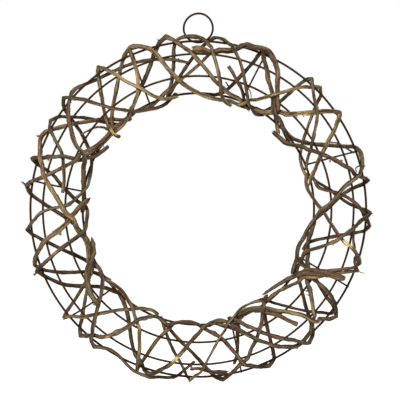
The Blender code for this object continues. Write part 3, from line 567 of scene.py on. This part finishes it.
class Stem:
    """A vine's middle line with its skin: the radius at every point round it, and what shows there."""

    def __init__(self, number, node, rng):
        points, radii = spine(node)
        fine = smooth_line(np.column_stack([points, radii]), STEM_STEP)
        self.rng = rng
        self.line = self.strayed(Line(sharpen(fine[:, :3])))
        self.angles = around(STEM_SIDES)
        self.plain = fine[:, 3] * GIRTH
        self.grow_bark()
        self.peel = np.zeros_like(self.radius)
        self.wood = np.zeros_like(self.radius)
        self.push = np.zeros((*self.radius.shape, 3))
        own = (PALER_BY if number in PALER else 0) - (DARKER_BY if number in DARKER else 0)
        patches = sum(PATCH_SHARE * wander(rng, self.line.along, length) for length in PATCH_LENGTHS)
        self.change = own + PATCHES * patches

    def strayed(self, line):
        """The line again, straying a little from its place, but not at its ends."""
        steps = np.arange(len(line.points))
        fade = np.clip(np.minimum(steps, steps[::-1]) / FADE_STEPS, 0, 1)
        stray = [direction * (STRAY * fade * wander(self.rng, line.along, STRAY_LENGTH))[:, None]
                 for direction in (line.side, line.other)]
        return Line(line.points + stray[0] + stray[1])

    def grow_bark(self):
        """Gives the bark its lobes and ridges: the radius all over, and the height that is painted."""
        rng, along = self.rng, self.line.along
        lobes = np.zeros((len(along), STEM_SIDES))
        for waves, size in LOBES:
            turn = rng.uniform(0, TURN) + LOBE_TWIST * wander(rng, along, LOBE_LENGTH)
            lobes += size * np.sin(waves * self.angles[None] + turn[:, None])
        ridges = sum(size * ridges_along(rng, len(along), length) for length, size in RIDGES)
        girth = sum((size * wander(rng, along, length) for length, size in GIRTH_CHANGES), start=1)
        self.radius = self.plain[:, None] * girth[:, None] * (1 + lobes + ridges)
        self.height = np.clip(0.5 + RIDGE_TONE * ridges + LOBE_TONE * lobes, 0, 1)

    def end_near(self, point):
        """0 or -1, whichever end is nearer."""
        ends = self.line.points[[0, -1]]
        return (0, -1)[int(np.linalg.norm(ends - point, axis=1).argmin())]

    def swell(self, point, length, share):
        """A knot: the stem is thicker by a share over about a length."""
        away = self.line.along - self.line.along[self.line.nearest(point)]
        bulge = np.exp(-(away / length) ** 2)
        rough = 1 + KNOT_ROUGH * self.rng.normal(0, 1, (1, STEM_SIDES))
        self.radius *= 1 + share * bulge[:, None] * rough

    def bare(self, point, length, share):
        """A patch where the bark is gone and the fresh wood shows, on the side that faces forward."""
        away = np.abs(self.line.along - self.line.along[self.line.nearest(point)])
        ragged = 0.5 * length * (1 + 0.5 * self.rng.normal(0, 0.6, STEM_SIDES))
        inside = np.clip((ragged[None] - away[:, None]) / BARE_EDGE, 0, 1)
        facing = self.line.outward(self.angles) @ FORWARD
        amount = inside * np.clip(facing * BARE_TURN + BARE_SIDE, 0, 1) * share
        self.peel = np.maximum(self.peel, amount)
        self.radius -= BARK_DEPTH * self.radius * np.minimum(amount, 1)

    def taper(self, end, length):
        """Brings an end down to a point."""
        away = self.line.along if end == 0 else self.line.along[-1] - self.line.along
        share = POINT + (1 - POINT) * np.clip(away / length, 0, 1) ** 0.8
        self.radius *= share[:, None]

    def cut(self, end, paint):
        """A clean cut across the end, where the wood shows."""
        self.radius[end] *= CUT_EDGE
        self.wood[end] = paint

    def snap(self, end, reach):
        """A broken end: the bark and wood stop in uneven points."""
        at, inner, way = (0, 1, -1) if end == 0 else (-1, -2, 1)
        jag = self.rng.uniform(*JAG, STEM_SIDES) * reach
        self.push[at] += self.line.tangent[at] * (way * jag)[:, None]
        self.push[inner] += self.line.tangent[inner] * (way * jag * JAG_INNER)[:, None]
        self.radius[at] *= self.rng.uniform(*SNAP_GIRTH, STEM_SIDES)
        self.wood[at] = self.rng.uniform(*SNAP_WOOD, STEM_SIDES)

    def paint(self):
        """The four paint channels over the whole skin."""
        shade = shade_of(self.surface(), self.change[:, None])
        return np.stack([self.height, self.peel, self.wood, shade], axis=-1)

    def surface(self):
        """The skin's points, ring by ring."""
        return self.line.rings(self.angles, self.radius) + self.push

    def clothe(self, skin):
        skin.tube(self.surface(), grain_of(self.line, self.radius, self.angles), self.paint(), dip=0.5)


STRIP_THICK = 0.16
STRIP_SINK = 0.06  # how deep a strip's near end lies in the bark, in mm
STRIP_CORNERS = 4
TWIG_STEP = 0.8
TWIG_ROUGH = 0.10  # how much a twig's radius changes from point to point, as a share
SPLINTER_SIDES, SPLINTER_TIP = 5, 0.08


def strip(skin, rng, stem, start, steps, angle, width, curl):
    """A thin strip of bark that lies along a stem and has come loose towards its far end."""
    count = len(stem.line.points)
    ids = np.arange(start, start + steps)
    ids = ids[(ids >= 0) & (ids < count)]
    if len(ids) < STRIP_CORNERS:
        return
    if rng.random() < 0.5:
        ids = ids[::-1]
    share = np.linspace(0, 1, len(ids))
    turn = angle + rng.uniform(-0.5, 0.5) * share
    side, other = stem.line.side[ids], stem.line.other[ids]
    out = side * np.cos(turn)[:, None] + other * np.sin(turn)[:, None]
    about = other * np.cos(turn)[:, None] - side * np.sin(turn)[:, None]
    columns = np.round(turn / TURN * STEM_SIDES).astype(int) % STEM_SIDES
    rise = stem.radius[ids, columns] - STRIP_SINK + curl * share ** 3
    middle = stem.line.points[ids] + out * rise[:, None]
    middle += about * (0.25 * width * wander(rng, stem.line.along[np.sort(ids)], 6))[:, None]
    half = width / 2 * np.clip(np.minimum(share * 5 + 0.25, (1 - share) * 3 + 0.12), 0, 1)
    rings = np.stack([middle - about * half[:, None], middle - out * STRIP_THICK * 0.3,
                      middle + about * half[:, None], middle + out * STRIP_THICK], axis=1)
    if np.dot(np.cross(rings[0, 1] - rings[0, 0], rings[0, 2] - rings[0, 0]), middle[1] - middle[0]) < 0:
        rings = rings[:, ::-1]
    grain = np.stack([rise * np.cos(turn), rise * np.sin(turn), stem.line.along[ids]], axis=-1)
    grain = np.repeat(grain[:, None], STRIP_CORNERS, axis=1)
    grain[..., 0] += [-0.3, 0, 0.3, 0]
    paint = np.zeros((*rings.shape[:2], 4))
    paint[..., 0] = rng.uniform(0.1, 1.0)
    paint[..., 3] = shade_of(rings, stem.change[ids][:, None])
    skin.tube(rings, grain, paint)


def twig(skin, rng, points, thick, thin, wood=0.0, tone=0.4, sides=7):
    """A thin tapering stub, splinter or tendril along the given points."""
    line = Line(smooth_line(points, TWIG_STEP))
    angles = around(sides)
    share = np.linspace(0, 1, len(line.points))
    rough = 1 + TWIG_ROUGH * rng.normal(0, 1, (len(share), sides))
    radius = (thick + (thin - thick) * share)[:, None] * rough
    rings = line.rings(angles, radius)
    paint = np.zeros((*radius.shape, 4))
    paint[..., 0] = np.clip(tone + 0.2 * rng.normal(0, 1, radius.shape), 0, 1)
    paint[..., 2] = wood
    paint[..., 3] = shade_of(rings)
    skin.tube(rings, grain_of(line, radius, angles), paint)


def splinters(skin, rng, base, way, count, reach, spread, thick=0.35, **looks):
    """A tuft of torn fibres that stand off from a place, roughly in one direction."""
    way = unit(way)
    for _ in range(count):
        lean = unit(way + rng.normal(0, spread, 3))
        bend = rng.normal(0, 0.3, 3)
        length = reach * rng.uniform(0.4, 1.0)
        start = base + rng.normal(0, 0.8, 3)
        points = [start - lean * 1.5, start + lean * length * 0.4, start + unit(lean + bend) * length]
        twig(skin, rng, points, thick * rng.uniform(0.6, 1.1), SPLINTER_TIP, sides=SPLINTER_SIDES, **looks)


# What shows on each vine, by its number: kind, clock, across and sizes, placed near its line.
#   bare   a peeled patch: length and share
#   knot   a thicker place: length and share
#   curl   a thin side twig: thickness, then the clock and across of each point it runs through
#   spur   a side stub that ends here: thickness
#   tuft   torn fibres that stand out: count and reach
#   point, cut, snap   how the nearer end is made: length, paint or reach
MARKS = {
    1: (("knot", 112, 1.1, 4, .2), ("tuft", 112.5, 1.13, 3, 2.5)),
    2: (("knot", 50, 1.05, 4, .15), ("knot", 36, .6, 3, .12)),
    3: (("tuft", 103.5, 1.1, 7, 5), ("tuft", 101, 1.16, 4, 2.5), ("knot", 100.6, 1.15, 5, .2),
        ("bare", 98.5, 1.06, 5, .35)),
    4: (("knot", 67.4, 1.02, 4, .2), ("bare", 62, .64, 8, .25),
        ("curl", 75.3, .19, 1.2, (76.4, .21), (77.3, .25), (78, .27))),
    5: (("knot", 92, 1.1, 5, .1),),
    6: (("knot", 75, .77, 3, .12), ("curl", 68, .3, .75, (66.3, .25), (65, .18), (64.4, .11))),
    7: (("bare", 43.3, .47, 15, .8), ("bare", 48.5, .22, 12, .45), ("bare", 38, .8, 10, .2),
        ("knot", 34, 1.05, 6, .22), ("tuft", 33.4, 1.08, 4, 2.5), ("spur", 43.6, .36, 1.0),
        ("tuft", 46, .34, 3, 3), ("point", 11, -.1, 16), ("curl", 42.5, .49, .8, (41.6, .475), (41, .47))),
    8: (("snap", 91.2, .84, 5), ("knot", 90.2, .84, 7, .35), ("bare", 90.6, .84, 8, .4),
        ("tuft", 91.2, .84, 12, 5), ("tuft", 68.6, 1.12, 6, 6), ("tuft", 65, 1.1, 5, 4),
        ("knot", 64.5, 1.07, 8, .18), ("bare", 62, .92, 8, .3), ("snap", 45, -.12, 5),
        ("bare", 46, -.09, 9, .6), ("tuft", 45, -.15, 8, 5),
        ("curl", 58, .62, 1.0, (57.5, .635), (57, .63))),
    9: (("cut", 78.2, .58, .5),),
    10: (("knot", 45.3, 1.06, 4, .2), ("bare", 51, .75, 12, .25)),
    11: (("knot", 18.5, 1.07, 5, .15), ("tuft", 11.8, .88, 3, 3), ("tuft", 22.5, 1.0, 3, 3),
         ("bare", 16, 1.07, 14, .25), ("curl", 15.2, 1.04, .85, (14.8, 1.06), (14.3, 1.085)),
         ("curl", 14.9, .99, 1.05, (14.8, .92), (14.2, .895), (13, .9))),
    12: (("spur", 19, .69, 1.2), ("spur", 19.8, .46, 1.1), ("knot", 19, .6, 5, .15),
         ("tuft", 10, 1.04, 6, 4), ("snap", 45.3, -.165, 3), ("bare", 10.6, 1.0, 6, .4),
         ("curl", 10.2, 1.03, .7, (10.5, 1.05), (10.9, 1.085))),
    13: (("knot", -6, 1.06, 4, .2), ("tuft", -6.4, 1.07, 3, 2)),
    14: (("bare", -14, .45, 26, .45), ("knot", -1.2, 1.03, 4, .15), ("tuft", -1.2, 1.05, 4, 3)),
    15: (("bare", -13.6, .69, 13, 1.0), ("knot", -17.3, 1.0, 7, .55), ("tuft", -19, 1.06, 6, 4)),
    16: (("knot", -21, 1.06, 4, .2), ("tuft", -21.2, 1.07, 7, 5), ("bare", -24, .78, 8, .25),
         ("curl", -21.2, 1.04, .7, (-21.3, 1.12), (-21.2, 1.2))),
    17: (("cut", -25.2, .84, .45), ("knot", -26, .66, 5, .1), ("point", -53.7, -.16, 6)),
    18: (("bare", -47.5, .5, 20, .5), ("knot", -38.6, 1.06, 5, .15)),
    19: (("knot", -36.2, 1.08, 4, .2), ("tuft", -36.4, 1.08, 3, 2), ("bare", -31.5, .55, 14, .2)),
    20: (("knot", -50.3, 1.1, 5, .15), ("tuft", -50, 1.1, 3, 2.5)),
    21: (("knot", -53, 1.06, 5, .12), ("bare", -40.5, .66, 24, .4),
         ("curl", -38, .51, .75, (-38, .46), (-38.3, .42)),
         ("curl", -36.4, .43, 1.2, (-37, .385), (-37.4, .37))),
    22: (("cut", -49.3, .70, .7), ("snap", -76.7, .81, 3),
         ("curl", -59, .05, .9, (-60.5, .045), (-61.5, .055))),
    23: (("knot", -66, 1.05, 5, .12), ("bare", -82, .2, 14, .25),
         ("curl", -62.6, .92, 1.0, (-63.2, .91), (-63.6, .9))),
    24: (("bare", -84, .48, 60, .15), ("knot", -92.8, 1.07, 3, .25), ("tuft", -92.8, 1.08, 4, 3)),
    25: (("knot", -82.5, 1.07, 4, .2), ("tuft", -84, 1.03, 3, 2.5)),
    26: (("spur", -92.6, .79, 1.1), ("snap", -80.3, .96, 3), ("tuft", -80.3, .96, 4, 3)),
    27: (("bare", -98.6, .71, 14, .9), ("knot", -106.3, 1.1, 4, .15)),
    28: (("bare", -117.2, .29, 9, .8), ("knot", -111, 1.08, 4, .2)),
    29: (("knot", -127.4, 1.12, 4, .3), ("tuft", -127.4, 1.13, 4, 3), ("knot", -107, 1.12, 6, .12),
         ("tuft", -104, 1.1, 3, 3), ("snap", -91.8, .72, 3)),
    30: (("bare", -125.4, .78, 12, .85), ("knot", -124.1, .6, 4, .3), ("knot", -133, 1.08, 4, .2)),
    31: (("spur", -140.6, 1.12, 1.2), ("knot", -141, 1.05, 4, .2), ("tuft", -140.8, 1.09, 3, 2.5)),
    32: (("snap", -136.7, .43, 5), ("tuft", -137, .45, 8, 6), ("bare", -139, .44, 10, .3),
         ("point", -165.3, -.11, 7)),
    33: (("bare", -163, .63, 9, .35), ("spur", -158.1, 1.18, 1.3), ("tuft", -158.4, 1.14, 5, 4),
         ("spur", -198, .82, 1.2), ("knot", -196.8, 1.1, 4, .25), ("tuft", -197, 1.12, 4, 3),
         ("cut", -214.7, -.12, .4)),
    34: (("spur", -169.5, .46, 1.4), ("knot", -171.3, .5, 4, .2), ("point", -186, -.13, 6),
         ("knot", -161.8, 1.09, 4, .15)),
    35: (("knot", -173, 1.07, 4, .25), ("tuft", -173, 1.08, 3, 2)),
    36: (("spur", -188.7, 1.2, 1.2), ("tuft", -188.4, 1.13, 6, 5), ("knot", -188.3, 1.1, 5, .3),
         ("bare", -189.5, 1.0, 8, .3)),
    37: (("spur", -204.4, 1.18, 1.0), ("knot", -205, 1.11, 4, .2), ("bare", -193, .82, 14, .2)),
    38: (("knot", -210.7, 1.09, 4, .2), ("cut", -186.8, .40, .4)),
    39: (("cut", -266.2, .58, .6), ("knot", -223, 1.09, 5, .2), ("tuft", -238, .92, 3, 3)),
    40: (("knot", -219.5, 1.13, 4, .2), ("tuft", -219.5, 1.14, 3, 2)),
    41: (("knot", -234.8, 1.09, 4, .2), ("bare", -240, .62, 12, .15)),
    42: (("knot", -246.6, 1.09, 4, .2), ("tuft", -246.6, 1.1, 4, 3)),
    43: (("spur", -272, .66, 1.2), ("bare", -262, .28, 40, .3), ("cut", -274.9, .8, .5)),
    44: (("snap", -6, .8, 2), ("snap", -14.6, .875, 2)),
    45: (("bare", -222, 0, 14, .9), ("cut", -222.5, -.16, 1.0)),
}

STRIP_EVERY = 9.0     # mm of vine for each strip of bark
STRIP_STEPS, STRIP_WIDTH = (6, 22), (0.5, 1.4)    # least and most, in steps and mm
LOOSE_SHARE = 0.35    # how many of the strips stand off
LOOSE_CURL, FLAT_CURL = (0.6, 2.2), (0.0, 0.3)    # mm that a strip's far end stands off
KNOT_EVERY = 48.0     # mm of vine for each small knot, on top of those in MARKS
KNOT_GAPS = 0.6, 1.5  # least and most share of that between two of them
KNOT_LENGTHS, KNOT_SHARES = (2, 4), (0.05, 0.2)   # least and most length in mm, and share of the radius
KNOT_START, KNOT_END = 15, 10  # mm at a vine's two ends that have none
BUD_SHARE = 0.4       # how many of those knots have a bud
PLAIN_REACH = 2.0     # how far a broken end's points stick out where MARKS doesn't say
TWIG_LIFT = 1.0       # side twigs run this much nearer the front than their vine
CURL_TIP = 0.6        # a side twig's thickness at its tip, as a share
TENDRIL_GIRTH = 1.35  # a tendril's thickness against the CAD's
CURL_TONE, TENDRIL_TONE = 0.22, 0.55    # the height that is painted on them, 1 for the lightest bark
BUD = 0.95, 0.4       # radius at its foot and at its tip
SPUR = 1.25, 0.75     # the same, against the spur's size
BUD_REACH, BUD_LEAN = (0.8, 2.2), 0.8   # mm past the bark, and how far it leans along the vine
TUFT_LEAN, TUFT_THICK = 0.8, 0.45       # the same lean for torn fibres, and their radius in mm
BEHIND = 0.12         # how much a mm further back counts when the front pass is looked for
VINE_SEED, TENDRIL_SEED, WIRE_SEED = 7000, 7100, 42


def index_at(stem, clock, across):
    """The vine's point nearest a place as seen from the front; where two passes cross, the front one."""
    lifts = lift_of(stem.line.points)
    targets = np.array([place(clock, across, lift) for lift in lifts])
    away = np.linalg.norm(stem.line.points - targets, axis=1) + BEHIND * (RAISED_LIFT - lifts)
    return int(away.argmin())


def add_knots(stem, extras):
    """Swells a vine into a small knot here and there, some of them with a bud."""
    rng, along = stem.rng, stem.line.along
    where = rng.uniform(KNOT_START, KNOT_EVERY)
    while where < along[-1] - KNOT_END:
        at = int(np.searchsorted(along, where))
        stem.swell(stem.line.points[at], rng.uniform(*KNOT_LENGTHS), rng.uniform(*KNOT_SHARES))
        if rng.random() < BUD_SHARE:
            extras.append(("bud", at))
        where += KNOT_EVERY * rng.uniform(*KNOT_GAPS)


def make_ends(stem, skin, ends):
    """Gives each end its point, its cut, or its broken edge with a few splinters."""
    line = stem.line
    for end, (kind, size) in ends.items():
        if kind == "point":
            stem.taper(end, size)
        elif kind == "cut":
            stem.cut(end, size)
        else:
            stem.snap(end, size)
            way = -line.tangent[0] if end == 0 else line.tangent[-1]
            splinters(skin, stem.rng, line.points[end], way, 4, size + 1, 0.3, wood=0.4)


def add_bud(stem, skin, at):
    """A short bud that points any way out from the vine."""
    rng, line = stem.rng, stem.line
    angle = rng.uniform(0, TURN)
    way = line.outward([angle])[at, 0] + line.tangent[at] * rng.uniform(-BUD_LEAN, BUD_LEAN)
    reach = stem.plain[at] + rng.uniform(*BUD_REACH)
    point = line.points[at]
    twig(skin, rng, [point, point + way * reach * 0.6, point + way * reach], *BUD, wood=0.3)


def add_curl(stem, skin, at, clock, across, thick, *path):
    """A thin side twig from a point on the vine."""
    point = stem.line.points[at]
    spots = [place(*spot, lift_of(point) + TWIG_LIFT) for spot in ((clock, across), *path)]
    twig(skin, stem.rng, [point, *spots], thick, thick * CURL_TIP, tone=CURL_TONE)


def add_spur(stem, skin, at, clock, across, size):
    """A broken side stub that ends at a place."""
    rng, point = stem.rng, stem.line.points[at]
    target = place(clock, across, lift_of(point) + TWIG_LIFT)
    bend = rng.normal(0, 0.5, 3)
    foot, tip = SPUR
    twig(skin, rng, [point, (point + target) / 2 + bend, target], size * foot, size * tip, wood=0.15)
    splinters(skin, rng, target, target - point, 4, 1.8, 0.35, wood=0.4)


def add_tuft(stem, skin, at, clock, across, count, reach):
    """Torn fibres that stand out from a vine's surface towards a place."""
    rng, line = stem.rng, stem.line
    point = line.points[at]
    target = place(clock, across, lift_of(point) + TWIG_LIFT)
    way = unit(point - MIDDLE) + line.tangent[at] * rng.choice([-1, 1]) * TUFT_LEAN
    start = point + unit(target - point) * stem.plain[at] * 0.7
    splinters(skin, rng, start, way, count, reach, 0.45, thick=TUFT_THICK, wood=0.1)


def add_strips(stem, skin):
    """Strips of bark all along a vine, most of them flat on it."""
    rng = stem.rng
    for _ in range(int(stem.line.along[-1] / STRIP_EVERY)):
        steps = int(rng.uniform(*STRIP_STEPS))
        start = int(rng.uniform(0, len(stem.line.points) - steps))
        curl = LOOSE_CURL if rng.random() < LOOSE_SHARE else FLAT_CURL
        strip(skin, rng, stem, start, steps, rng.uniform(0, TURN), rng.uniform(*STRIP_WIDTH),
              rng.uniform(*curl))


ADDERS = {"bud": add_bud, "curl": add_curl, "spur": add_spur, "tuft": add_tuft}


def dress(stem, skin, marks):
    """Shapes a vine's skin, clothes it, and adds its twigs, tufts and loose strips."""
    ends = {0: ("snap", PLAIN_REACH), -1: ("snap", PLAIN_REACH)}
    extras = []
    for kind, clock, across, *sizes in marks:
        at = index_at(stem, clock, across)
        point = stem.line.points[at]
        if kind == "bare":
            stem.bare(point, *sizes)
        elif kind == "knot":
            stem.swell(point, *sizes)
        elif kind in ("point", "cut", "snap"):
            ends[stem.end_near(place(clock, across, lift_of(point)))] = (kind, *sizes)
        else:
            extras.append((kind, at, clock, across, *sizes))
    add_knots(stem, extras)
    make_ends(stem, skin, ends)
    stem.clothe(skin)
    for kind, *how in extras:
        ADDERS[kind](stem, skin, *how)
    add_strips(stem, skin)


def numbered(start):
    """The CAD nodes whose names start so, in order, with their numbers and material slots."""
    slots = {entry["node"]: entry["material_slot"] for entry in frame["record"]["subparts"]}
    names = sorted(node for node in frame["nodes"] if node.startswith(start))
    return [(number, node, slots[node]) for number, node in enumerate(names, start=1)]


def make_vines():
    for number, node, slot in numbered("stem_"):
        rng = np.random.default_rng(VINE_SEED + number)
        skin = Skin()
        dress(Stem(number, node, rng), skin, MARKS.get(number, ()))
        skin.make("vine_" + node[-2:], node, BARKS[slot])


def make_tendrils():
    for number, node, slot in numbered("tendril_"):
        rng = np.random.default_rng(TENDRIL_SEED + number)
        line, radii = spine(node)
        skin = Skin()
        twig(skin, rng, line, radii[0] * TENDRIL_GIRTH, radii[-1] * TENDRIL_GIRTH, tone=TENDRIL_TONE)
        skin.make("curly_" + node, node, BARKS[slot])


# Wires

WIRE_SIDES = 12
WIRE_ROUGH = 0.02     # how much a wire's radius changes from point to point, as a share
RING_STEPS, LOOP_STEPS = 320, 120
STRUT_STEP = 1.0      # mm between a strut's rings of points
WOBBLE = 0.25         # how far the bent wire strays from a true circle
WAVES = (2, 3, 5, 8)  # how many times it does so in one turn
LOOP_BEAD, STRUT_BEAD = 1.5, 1.45       # size of a weld
BEAD_STEPS, BEAD_SIDES, BEAD_ROUGH = 7, 9, 0.12
COAT = 0.36           # paint and rust on the outer and inner rings' wire, and on the loop's
THIN_COAT = 0.25      # the same on the raised rings and the struts


def wire_paint(rings):
    """Even paint, since the wire's material reads only the grain."""
    paint = np.zeros((*rings.shape[:2], 4))
    paint[..., 0] = 0.5
    return paint


def wire(skin, rng, points, radius, closed=False):
    """A wire along the given points, which may run back into itself."""
    line = Line(points, closed)
    angles = around(WIRE_SIDES)
    radii = radius * (1 + WIRE_ROUGH * rng.normal(0, 1, (len(line.points), WIRE_SIDES)))
    rings = line.rings(angles, radii)
    grain = grain_of(line, radii, angles)
    if closed:
        skin.wall(rings, grain, wire_paint(rings), closed=True)
    else:
        skin.tube(rings, grain, wire_paint(rings))


def weld(skin, rng, centre, reach):
    """A small uneven bead of weld."""
    rise = np.linspace(-1, 1, BEAD_STEPS)
    girth = np.sqrt(np.clip(1 - rise ** 2, 0.02, 1))
    angles = around(BEAD_SIDES)
    rough = reach * (1 + BEAD_ROUGH * rng.normal(0, 1, (BEAD_STEPS, BEAD_SIDES)))
    rings = centre + np.stack([rough * girth[:, None] * np.cos(angles), rough * rise[:, None],
                               rough * girth[:, None] * -np.sin(angles)], axis=-1)
    skin.tube(rings, rings - centre, wire_paint(rings))


def circle(middle, radius, steps, rng):
    """Points round a circle in the XZ plane that strays a little, as bent wire does."""
    clocks = around(steps)
    stray = np.zeros(steps)
    for waves in WAVES:
        stray += rng.normal(0, WOBBLE / waves) * np.sin(waves * clocks + rng.uniform(0, TURN))
    reach = radius + stray
    return middle + np.column_stack([reach * np.cos(clocks), 0.4 * stray, reach * np.sin(clocks)])


def make_wires():
    rng = np.random.default_rng(WIRE_SEED)
    rings = {}
    for node in ("ring_outer", "ring_raised_outer", "ring_raised_inner", "ring_inner"):
        low, high = size_of(node)
        rings[node] = circle((low + high) / 2, ring_radius(node), RING_STEPS, rng)
        skin = Skin()
        wire(skin, rng, rings[node], RING_WIRE + (THIN_COAT if "raised" in node else COAT), closed=True)
        skin.make("wire_" + node, node, WIRE)
    make_loop(rng, rings["ring_outer"])
    for _, node, _ in numbered("strut_"):
        make_strut(node, rng, rings.values())


def make_loop(rng, ring):
    """The hanging loop, with the two welds that hold it to the outer ring."""
    low, high = size_of("hanging_loop")
    loop = circle((low + high) / 2, (high[2] - low[2]) / 2 - LOOP_WIRE, LOOP_STEPS, rng)
    skin = Skin()
    wire(skin, rng, loop, LOOP_WIRE + COAT, closed=True)
    for half in (loop[:, 0] < 0, loop[:, 0] > 0):
        weld(skin, rng, nearest_pair(loop[half], ring), LOOP_BEAD)
    skin.make("wire_hanging_loop", "hanging_loop", WIRE)


def make_strut(node, rng, rings):
    """A cross strut, with a weld at each ring."""
    points, _ = spine(node)
    line = smooth_line(points, STRUT_STEP)
    skin = Skin()
    wire(skin, rng, line, STRUT_WIRE + THIN_COAT)
    for ring in rings:
        weld(skin, rng, nearest_pair(line, ring), STRUT_BEAD)
    skin.make("wire_" + node, node, WIRE)


def nearest_pair(first, second):
    """The point half way between two lines where they come nearest."""
    away = np.linalg.norm(first[:, None] - second[None], axis=2)
    i, j = np.unravel_index(away.argmin(), away.shape)
    return (first[i] + second[j]) / 2


# Stage

FLOOR_DEPTH = 0.20   # how far below the lowest vine the floor lies, in metres
STUDIO_LIGHT = 0.18  # soft light from all round
STUDIO_WHITE = 1.0   # how bright the studio's white is as seen
FLOOR_REACH = 6.0    # metres from its middle to each side
LIGHTS = (("key", (-0.40, -1.40, 0.45), 0.45, 24), ("fill", (0.8, -1.3, -0.1), 1.0, 4),
          ("back", (0.5, 1.4, 0.5), 1.0, 7))      # name, place, size in metres, power in watts
CAMERA_PLACE = (0.0020, -1.1222, -0.2217)
LENS, SENSOR = 84.67, 36.0  # mm


def make_floor(lowest):
    data = bpy.data.meshes.new("floor")
    corners = [(x * FLOOR_REACH, y * FLOOR_REACH, 0) for x, y in ((-1, -1), (1, -1), (1, 1), (-1, 1))]
    data.from_pydata(corners, [], [(0, 1, 2, 3)])
    data.materials.append(paper_material())
    floor = add_object("floor", data)
    floor.location = (0, 0, lowest - FLOOR_DEPTH)


def add_light(name, location, size, power, target):
    """A square soft light that points at a target."""
    data = bpy.data.lights.new(name, "AREA")
    data.size = size
    data.energy = power
    light = add_object(name, data)
    light.location = location
    light.rotation_euler = (Vector(target) - Vector(location)).to_track_quat("-Z", "Y").to_euler()


def make_world():
    """Soft light from all round, which the camera sees as plain white."""
    world = bpy.data.worlds.new("studio")
    world.use_nodes = True
    nodes, links = world.node_tree.nodes, world.node_tree.links
    background = nodes["Background"]
    background.inputs["Color"].default_value = (1.0, 1.0, 1.0, 1.0)
    seen = nodes.new("ShaderNodeLightPath").outputs["Is Camera Ray"]
    strength = nodes.new("ShaderNodeMapRange")
    links.new(seen, strength.inputs["Value"])
    strength.inputs["To Min"].default_value = STUDIO_LIGHT
    strength.inputs["To Max"].default_value = STUDIO_WHITE
    links.new(strength.outputs["Result"], background.inputs["Strength"])
    bpy.context.scene.world = world


def make_camera():
    """Level and square on, a little over a metre from the frame, as far as its perspective says."""
    data = bpy.data.cameras.new("camera")
    data.lens = LENS
    data.sensor_width = SENSOR
    camera = add_object("camera", data)
    camera.location = CAMERA_PLACE
    camera.rotation_euler = (math.pi / 2, 0, 0)
    bpy.context.scene.camera = camera


make_camera()
make_wires()
make_vines()
make_tendrils()
make_floor(cad_box[0][2])
for light in LIGHTS:
    add_light(*light, MIDDLE * MM)
make_world()
bpy.context.scene.view_settings.view_transform = "Standard"
